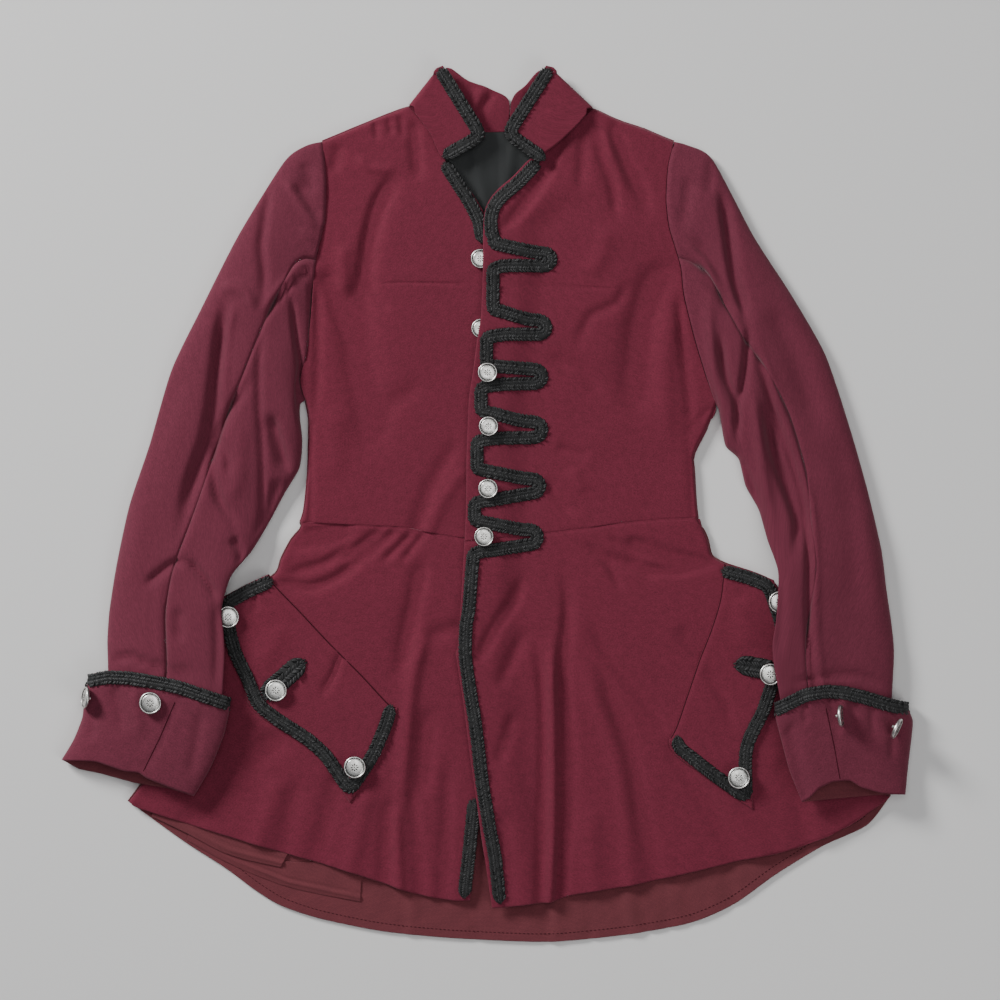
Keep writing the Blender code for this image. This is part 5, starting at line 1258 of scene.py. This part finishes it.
# %% [markdown]
# A braid's path is drawn in plan. Its corners are turned on a small arc, points are added every few
# millimetres, and each is dropped onto the cloth, which gives its height and normal.


# %% Paths on the cloth
def dense(path, step):
    """A polyline with a point every step."""
    line = np.array(path, float)
    run = np.hypot(*np.diff(line, axis=0).T).sum()
    return even(line, max(int(run / step), 2) + 1)


def round_path(path, radius):
    """Corners turned by cutting them with a soft curve."""
    line = np.array(path, float)
    out = [line[0]]
    for before, corner, after in zip(line, line[1:], line[2:]):
        into = before - corner
        away = after - corner
        reach = min(radius, 0.48 * np.hypot(*into), 0.48 * np.hypot(*away))
        start = corner + into / np.hypot(*into) * reach
        end = corner + away / np.hypot(*away) * reach
        for t in np.linspace(0, 1, 6):
            out.append((1 - t) ** 2 * start + 2 * t * (1 - t) * corner + t * t * end)
    out.append(line[-1])
    return np.array(out)


def on_cloth(path, lie, lift):
    """Points in metres a little above the cloth, with the cloth's normals smoothed along the path."""
    spots = [lie.at(px, py) for px, py in path]
    heights = np.array([spot[0] for spot in spots])
    normals = np.array([tuple(spot[1]) for spot in spots])
    kernel = np.array([1, 2, 3, 2, 1]) / 9
    pad = np.pad(heights, 2, mode="edge")
    soft = np.convolve(pad, kernel, mode="valid")
    heights = np.maximum(soft, heights - 0.2)
    normals = np.column_stack([np.convolve(np.pad(normals[:, c], 2, mode="edge"), kernel, mode="valid")
                               for c in range(3)])
    normals /= np.linalg.norm(normals, axis=1)[:, None]
    points = np.column_stack([path, heights + lift]) * MM
    return [tuple(p) for p in points], [tuple(n) for n in normals]


# %% Frog loops and the front edge
# Down the front: x of the edge, y of the upper root and upper tip, x of the tip, y of the lower tip and
# lower root, x of the edge below
FROGS = [
    (8, 259, 251, 65, 238, 237.5, 7),
    (7, 193, 183.5, 60, 169.5, 169, 0.5),
    (0.5, 138, 134.5, 56, 120.5, 119, -5),
    (-5, 92, 82, 56, 66.5, 65, -9),
    (-9, 34, 25, 54, 11, 3.5, -11.5),
    (-11.5, -17.5, -26, 51.5, -40.5, -47, -13),
]


def frog_path():
    """Down the edge, out and back round each loop."""
    path = []
    for root, upper_root, upper_tip, tip, lower_tip, lower_root, below in FROGS:
        middle = 0.5 * (upper_tip + lower_tip)
        radius = 0.5 * (upper_tip - lower_tip)
        path += [(root, upper_root + 8), (root, upper_root + 1), (root + 8, upper_root - 0.5),
                 (tip - radius - 12, upper_tip + 1), (tip - radius, upper_tip)]
        path += [(tip - radius + radius * math.cos(math.radians(a)),
                  middle + radius * math.sin(math.radians(a))) for a in (65, 40, 15, -15, -40, -65)]
        path += [(tip - radius, lower_tip), (root + 16, lower_root + 0.6), (root + 6, lower_root - 0.3),
                 (below, lower_root - 3), (below, lower_root - 10)]
    return path


over_neck = soft_line([(52, 342), (33, 322), (18, 309), (9, 299), (5, 286), (5.5, 270)], 24)
over_edge = soft_line([(-14, -62), (-15.5, -86), (-17.5, -108), (-20, -122), (-20.5, -152), (-16, -186),
                       (-10, -224), (-4, -276), (3, -320), (9, -352), (14, -398)], 80)
PLAIT_LIFT = 1.1
PATH_STEP = 2.2
front_path = dense(round_path(np.vstack([over_neck, frog_path(), over_edge]), 6), PATH_STEP)
braid("front_braid", "braid_front_left", *on_cloth(front_path, over_front, PLAIT_LIFT), seed=5)
neck_path = soft_line([(-41.5, 341), (-28, 320), (-16, 301), (-7, 282), (-4, 262)], 30)
braid("neck_braid", "braid_neck_right", *on_cloth(neck_path, under_front, PLAIT_LIFT), seed=6)
edge_path = soft_line([(-11.5, -296), (-14, -320), (-17, -350), (-22, -393)], 36)
braid("right_edge_braid", "braid_edge_right", *on_cloth(edge_path, under_front, PLAIT_LIFT), seed=7)

# %% Collar, flap and tab braids
for side, path, lie in (("right", [(-46, 434), (-5, 368), (-42, 347)], Lie(collar_right)),
                        ("left", [(63, 434), (22, 370), (58, 344.5)], Lie(collar_left))):
    drawn = dense(round_path(path, 9), PATH_STEP)
    points, normals = on_cloth(drawn, lie, PLAIT_LIFT)
    braid("%s_collar_braid" % side, "braid_collar_%s" % side, points, normals, seed=8)


def inset(path, distance):
    """The path moved sideways, square to its own run."""
    line = np.array(path, float)
    ahead = np.vstack([np.diff(line, axis=0), line[-1:] - line[-2:-1]])
    before = np.vstack([ahead[:1], ahead[:-1]])
    ahead /= np.hypot(*ahead.T)[:, None]
    before /= np.hypot(*before.T)[:, None]
    normal = np.column_stack([-(ahead[:, 1] + before[:, 1]), ahead[:, 0] + before[:, 0]])
    normal /= np.hypot(*normal.T)[:, None]
    own = -before[:, 1] * normal[:, 0] + before[:, 0] * normal[:, 1]
    return line + normal * (distance / np.maximum(own, 0.5))[:, None]


for side, edges, lie, sign, tab in (
        ("right", FLAP_RIGHT, flap_right, 1, [(-221, -194), (-215, -186), (-188, -162), (-182, -158)]),
        ("left", FLAP_LEFT, flap_left, -1, [(288, -170), (280, -165), (256, -161), (250, -161)])):
    top, low, seam, outer = edges
    whole = top + outer[1:] + low[::-1][1:]
    drawn = dense(round_path(inset(whole, 7.0 * sign), 8), PATH_STEP)
    points, normals = on_cloth(drawn, lie, PLAIT_LIFT)
    braid("%s_flap_braid" % side, "braid_flap_%s" % side, points, normals, seed=9)
    points, normals = on_cloth(dense(tab, PATH_STEP), lie, PLAIT_LIFT + 0.2)
    braid("%s_tab_braid" % side, "braid_tab_%s" % side, points, normals, width=21.0, seed=10, strand=2.9,
          pitch=2.7)

# %% [markdown]
# The braid round a cuff goes right round the tube. Its path comes from the cuff's own stations, and its
# normals point away from the middle of the tube.

# %% Cuff braids
BRAID_ROW = 4
for side, stations, folds in (("right", cuff_right, CUFF_RIGHT_FOLDS), ("left", cuff_left, CUFF_LEFT_FOLDS)):
    ring = stations[BRAID_ROW:BRAID_ROW + 1]
    half = np.concatenate([crowd(0.5, 0, 30)[::-1], crowd(0.5, 1, 30)[1:]])
    across = np.concatenate([half, half[::-1][1:]])[None]
    top = np.array([True] * len(half) + [False] * (len(half) - 1))[None]
    loop = np.stack(cuff_grid(side, stations, [BRAID_ROW], across, top, folds, grow=1.2), axis=2)[0]
    steps = np.linalg.norm(np.diff(loop, axis=0), axis=1)
    run = np.concatenate([[0], np.cumsum(steps)])
    places = np.linspace(0, run[-1], 150)
    loop = np.column_stack([np.interp(places, run, loop[:, c]) for c in range(3)])
    width_way = np.array([ring[0, 2] - ring[0, 0], ring[0, 3] - ring[0, 1], ring[0, 6] - ring[0, 5]])
    width_way /= np.linalg.norm(width_way)
    sleeve_way = np.cross(width_way, (0, 0, 1))
    sleeve_way /= np.linalg.norm(sleeve_way)
    ahead = np.gradient(loop, axis=0)
    normal = np.cross(ahead, sleeve_way)
    normal /= np.linalg.norm(normal, axis=1)[:, None]
    centre = loop.mean(axis=0)
    if ((loop - centre) * normal).sum() < 0:
        normal = -normal
    braid("%s_cuff_braid" % side, "braid_cuff_%s" % side, [tuple(p) for p in loop * MM],
          [tuple(n) for n in normal], seed=11, strand=2.4, taper=0.0)

# %% [markdown]
# ## Buttons
# A pressed button is a shallow cap: a bright raised rim, a dark groove, a flat field and a small flower
# of eight dark petals. The cap is a profile turned about its axis, and a node tree sets the petals round
# it. Each button then goes to the place and tilt of its CAD node, apart from three on the cuffs that
# stand on edge in the photograph and lie flat in the solids.

# %% The flower as geometry nodes
flower = new_tree("petal_ring", "GeometryNodeTree",
                  [("Geometry", "Geometry", None), ("Petals", "Int", 8), ("Ring", "Float", 0.0024),
                   ("Petal length", "Float", 0.0009), ("Petal width", "Float", 0.0004),
                   ("Level", "Float", 0.0018), ("Material", "Material", None)], [("Geometry", "Geometry")])
asked = put(flower, "NodeGroupInput").outputs
circle = put(flower, "GeometryNodeMeshCircle", {"Vertices": asked["Petals"],
                                                "Radius": asked["Ring"]}).outputs[0]
ball = put(flower, "GeometryNodeMeshUVSphere", {"Segments": 10, "Rings": 6, "Radius": 1.0}).outputs[0]
size = put(flower, "ShaderNodeCombineXYZ", {0: asked["Petal length"], 1: asked["Petal width"], 2: 0.00012})
petal = put(flower, "GeometryNodeTransform", {"Geometry": ball, "Scale": size.outputs[0]}).outputs[0]
where = put(flower, "GeometryNodeInputPosition").outputs[0]
outward = put(flower, "FunctionNodeAlignRotationToVector", {"Vector": where}, axis="X",
              pivot_axis="Z").outputs[0]
ringed = put(flower, "GeometryNodeInstanceOnPoints", {"Points": circle, "Instance": petal,
                                                      "Rotation": outward}).outputs[0]
dot = put(flower, "GeometryNodeTransform", {"Geometry": ball, "Scale": (0.0006, 0.0006, 0.00012)}).outputs[0]
parts = put(flower, "GeometryNodeJoinGeometry")
flower.links.new(ringed, parts.inputs[0])
flower.links.new(dot, parts.inputs[0])
real = put(flower, "GeometryNodeRealizeInstances", {"Geometry": parts.outputs[0]}).outputs[0]
height = put(flower, "ShaderNodeCombineXYZ", {2: asked["Level"]}).outputs[0]
raised = put(flower, "GeometryNodeTransform", {"Geometry": real, "Translation": height}).outputs[0]
dark = put(flower, "GeometryNodeSetMaterial", {"Geometry": raised, "Material": asked["Material"]}).outputs[0]
whole = put(flower, "GeometryNodeJoinGeometry")
flower.links.new(dark, whole.inputs[0])
flower.links.new(asked["Geometry"], whole.inputs[0])
put(flower, "NodeGroupOutput", {0: whole.outputs[0]})
print("geometry nodes:", flower.name)

# %% Turned caps
CAP = [(0.0, 0.0), (0.46, 0.0), (0.485, 0.25), (0.5, 0.55), (0.496, 0.85), (0.475, 1.0), (0.45, 1.02),
       (0.425, 0.9), (0.41, 0.66), (0.395, 0.62), (0.375, 0.78), (0.34, 0.84), (0.2, 0.92), (0.0, 0.95)]
SIDES = 40
GROOVE_RINGS = range(6, 8)


def cap_mesh(name, diameter, thick):
    """A profile turned about the axis, closed at both poles."""
    vertices = [(0.0, 0.0, 0.0)]
    for radius, rise in CAP[1:-1]:
        vertices += [(radius * diameter * math.cos(2 * math.pi * k / SIDES),
                      radius * diameter * math.sin(2 * math.pi * k / SIDES), rise * thick)
                     for k in range(SIDES)]
    vertices.append((0.0, 0.0, CAP[-1][1] * thick))
    faces = [(0, 1 + (k + 1) % SIDES, 1 + k) for k in range(SIDES)]
    rings = len(CAP) - 2
    for r in range(rings - 1):
        for k in range(SIDES):
            a = 1 + r * SIDES + k
            b = 1 + r * SIDES + (k + 1) % SIDES
            faces.append((a, b, b + SIDES, a + SIDES))
    top = len(vertices) - 1
    start = 1 + (rings - 1) * SIDES
    faces += [(start + k, start + (k + 1) % SIDES, top) for k in range(SIDES)]
    mesh = bpy.data.meshes.new(name)
    mesh.from_pydata(vertices, [], faces)
    mesh.materials.append(aged_silver)
    mesh.materials.append(dark_hollow)
    for ring in GROOVE_RINGS:
        for k in range(SIDES):
            mesh.polygons[(1 + ring) * SIDES + k].material_index = 1
    mesh.shade_smooth()
    return mesh


def add_shank(mesh, radius, length):
    """A short closed post behind the cap, by which it is sewn on."""
    form = bmesh.new()
    form.from_mesh(mesh)
    post = bmesh.ops.create_cone(form, cap_ends=True, segments=12, radius1=radius, radius2=radius,
                                 depth=length)
    bmesh.ops.translate(form, verts=post["verts"], vec=(0, 0, -length / 2))
    form.to_mesh(mesh)
    form.free()


SHANK_RADIUS = 0.0015
SHANK_LENGTH = 0.0034
# Buttons that stand on edge: the middle in mm and the direction that they face
ON_EDGE = {
    "button_cuff_left_1": ((352, -210, 35.2), (0.95, 0.05, 0.30)),
    "button_cuff_left_2": ((408, -223, 30.4), (0.86, -0.42, 0.29)),
    "button_cuff_right_2": ((-399, -193, 21.6), (-0.92, 0.12, 0.37)),
}


def button(node):
    """A cap with its flower, at the place and tilt of a CAD button."""
    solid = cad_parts[node]
    cad = np.array([tuple(solid.matrix_world @ v.co) for v in solid.data.vertices])
    centre = cad.mean(axis=0)
    axis = Vector(np.linalg.svd(cad - centre)[2][2])
    if axis.z < 0:
        axis = -axis
    along = (cad - centre) @ np.array(axis)
    flat = cad - centre - along[:, None] * np.array(axis)
    diameter = 2 * np.linalg.norm(flat, axis=1).max()
    thick = along.max() - along.min()
    piece = link("cap_" + node.removeprefix("button_"), cap_mesh(node + "_cap", diameter, thick))
    grow(piece, flower, Petals=8, Ring=diameter * 0.128, Petal_length=diameter * 0.058,
         Petal_width=diameter * 0.024, Level=0.95 * thick, Material=dark_hollow)
    base = Vector(centre) + axis * along.min()
    if node in ON_EDGE:
        middle, facing = ON_EDGE[node]
        add_shank(piece.data, SHANK_RADIUS, SHANK_LENGTH)
        axis = Vector(facing).normalized()
        base = Vector(middle) * MM - axis * thick / 2
    turn = axis.to_track_quat("Z", "Y").to_matrix().to_4x4()
    piece.data.transform(Matrix.Translation(base) @ turn)
    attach(piece, "root")
    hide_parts(node)
    return piece


caps = [button(name) for name in sorted(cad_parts) if name.startswith("button_")]
print("buttons:", len(caps))

# %% [markdown]
# ## Stitches
# A hem is held by small stitches that show as dashes a few millimetres from the edge. They follow a path
# on the cloth at an even step, which a tree of their own makes. The seams of the flaps and cuffs show
# as dark lines of painted seam shadow, each a thin dark strip laid along its path.

# %% Stitches as geometry nodes
stitching = new_tree("stitch_line", "GeometryNodeTree",
                     [("Geometry", "Geometry", None), ("Step", "Float", 0.0042),
                      ("Stitch length", "Float", 0.0028), ("Thread", "Float", 0.0005),
                      ("Material", "Material", None)], [("Geometry", "Geometry")])
asked = put(stitching, "NodeGroupInput").outputs
path = put(stitching, "GeometryNodeMeshToCurve", {"Mesh": asked["Geometry"]}).outputs[0]
beads = put(stitching, "GeometryNodeResampleCurve", {"Curve": path, "Length": asked["Step"]}, mode="LENGTH")
ball = put(stitching, "GeometryNodeMeshUVSphere", {"Segments": 6, "Rings": 4, "Radius": 0.5}).outputs[0]
size = put(stitching, "ShaderNodeCombineXYZ", {0: asked["Stitch length"], 1: asked["Thread"],
                                               2: asked["Thread"]})
dash = put(stitching, "GeometryNodeTransform", {"Geometry": ball, "Scale": size.outputs[0]}).outputs[0]
along = put(stitching, "GeometryNodeInputTangent").outputs[0]
facing = put(stitching, "FunctionNodeAlignRotationToVector", {"Vector": along}, axis="X").outputs[0]
sewn = put(stitching, "GeometryNodeInstanceOnPoints", {"Points": beads.outputs[0], "Instance": dash,
                                                       "Rotation": facing}).outputs[0]
real = put(stitching, "GeometryNodeRealizeInstances", {"Geometry": sewn}).outputs[0]
done = put(stitching, "GeometryNodeSetMaterial", {"Geometry": real, "Material": asked["Material"]}).outputs[0]
put(stitching, "NodeGroupOutput", {0: done})
# The thread's dark colour serves the real hem stitches and also the painted seam shadows.
thread_and_seam_shade = spotted_finish("burgundy_thread", (0.028, 0.004, 0.008), (0.052, 0.007, 0.013), 800.0, 0.0, 0.7, 0.5,
                        0.0001)
thread_and_seam_shade.node_tree.nodes["Principled BSDF"].inputs["Specular IOR Level"].default_value = 0.05


# %% Sewn lines
SEWN_STEP = 3.0


def sew(name, path, lie):
    """A line of stitches on the cloth."""
    points, normals = on_cloth(dense(path, SEWN_STEP), lie, 0.15)
    piece = path_object(name, points, normals)
    grow(piece, stitching, Step=0.0042, Stitch_length=0.0028, Thread=0.0007, Material=thread_and_seam_shade)
    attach(piece, "root")
    print("%-18s %d faces" % (name, len(piece.data.polygons)))


def painted_seam_shadow(name, path, lie, width=1.2):
    """A painted seam shadow: a thin dark strip laid on the cloth along a seam."""
    points, normals = on_cloth(dense(path, SEWN_STEP), lie, 0.12)
    vertices, faces = core_ribbon(points, normals, [width * MM] * len(points), 0.3 * MM)
    mesh = bpy.data.meshes.new(name)
    mesh.from_pydata([tuple(v) for v in vertices], [], faces)
    mesh.materials.append(thread_and_seam_shade)
    piece = link(name, mesh)
    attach(piece, "root")


# Painted seam shadows: dark strips along the flap and cuff seams.
painted_seam_shadow("right_flap_seam", inset(soft_line(FLAP_RIGHT[2], 60), -0.9), flap_right)
painted_seam_shadow("left_flap_seam", inset(soft_line(FLAP_LEFT[2], 60), 0.9), flap_left)
painted_seam_shadow("right_cuff_seam", [(-309, -197), (-324, -232), (-341, -266)], cuff_right_lie, 0.9)
painted_seam_shadow("left_cuff_seam", [(338, -203), (346, -240), (352, -273)], cuff_left_lie, 0.9)
hem_line = inset(soft_line(BACK_HEM, 90), 8.0)[3:-3]
sew("back_hem_stitches", hem_line, Lie(back_skirt_grid))

# %% [markdown]
# ## The floor
# The floor is a plain pale surface that isn't part of the jacket.

# %% Floor
FLOOR_REACH = 6
FLOOR_LEVEL = -0.0004
floor_mesh = bpy.data.meshes.new("floor")
floor_mesh.from_pydata([(x * FLOOR_REACH, y * FLOOR_REACH, FLOOR_LEVEL)
                        for x, y in ((-1, -1), (1, -1), (1, 1), (-1, 1))], [], [(0, 1, 2, 3)])
floor = link("floor", floor_mesh)
pale = bpy.data.materials.new("pale_floor")
pale.use_nodes = True
pale.node_tree.nodes["Principled BSDF"].inputs["Base Color"].default_value = (0.72, 0.71, 0.70, 1)
pale.node_tree.nodes["Principled BSDF"].inputs["Roughness"].default_value = 0.9
floor_mesh.materials.append(pale)
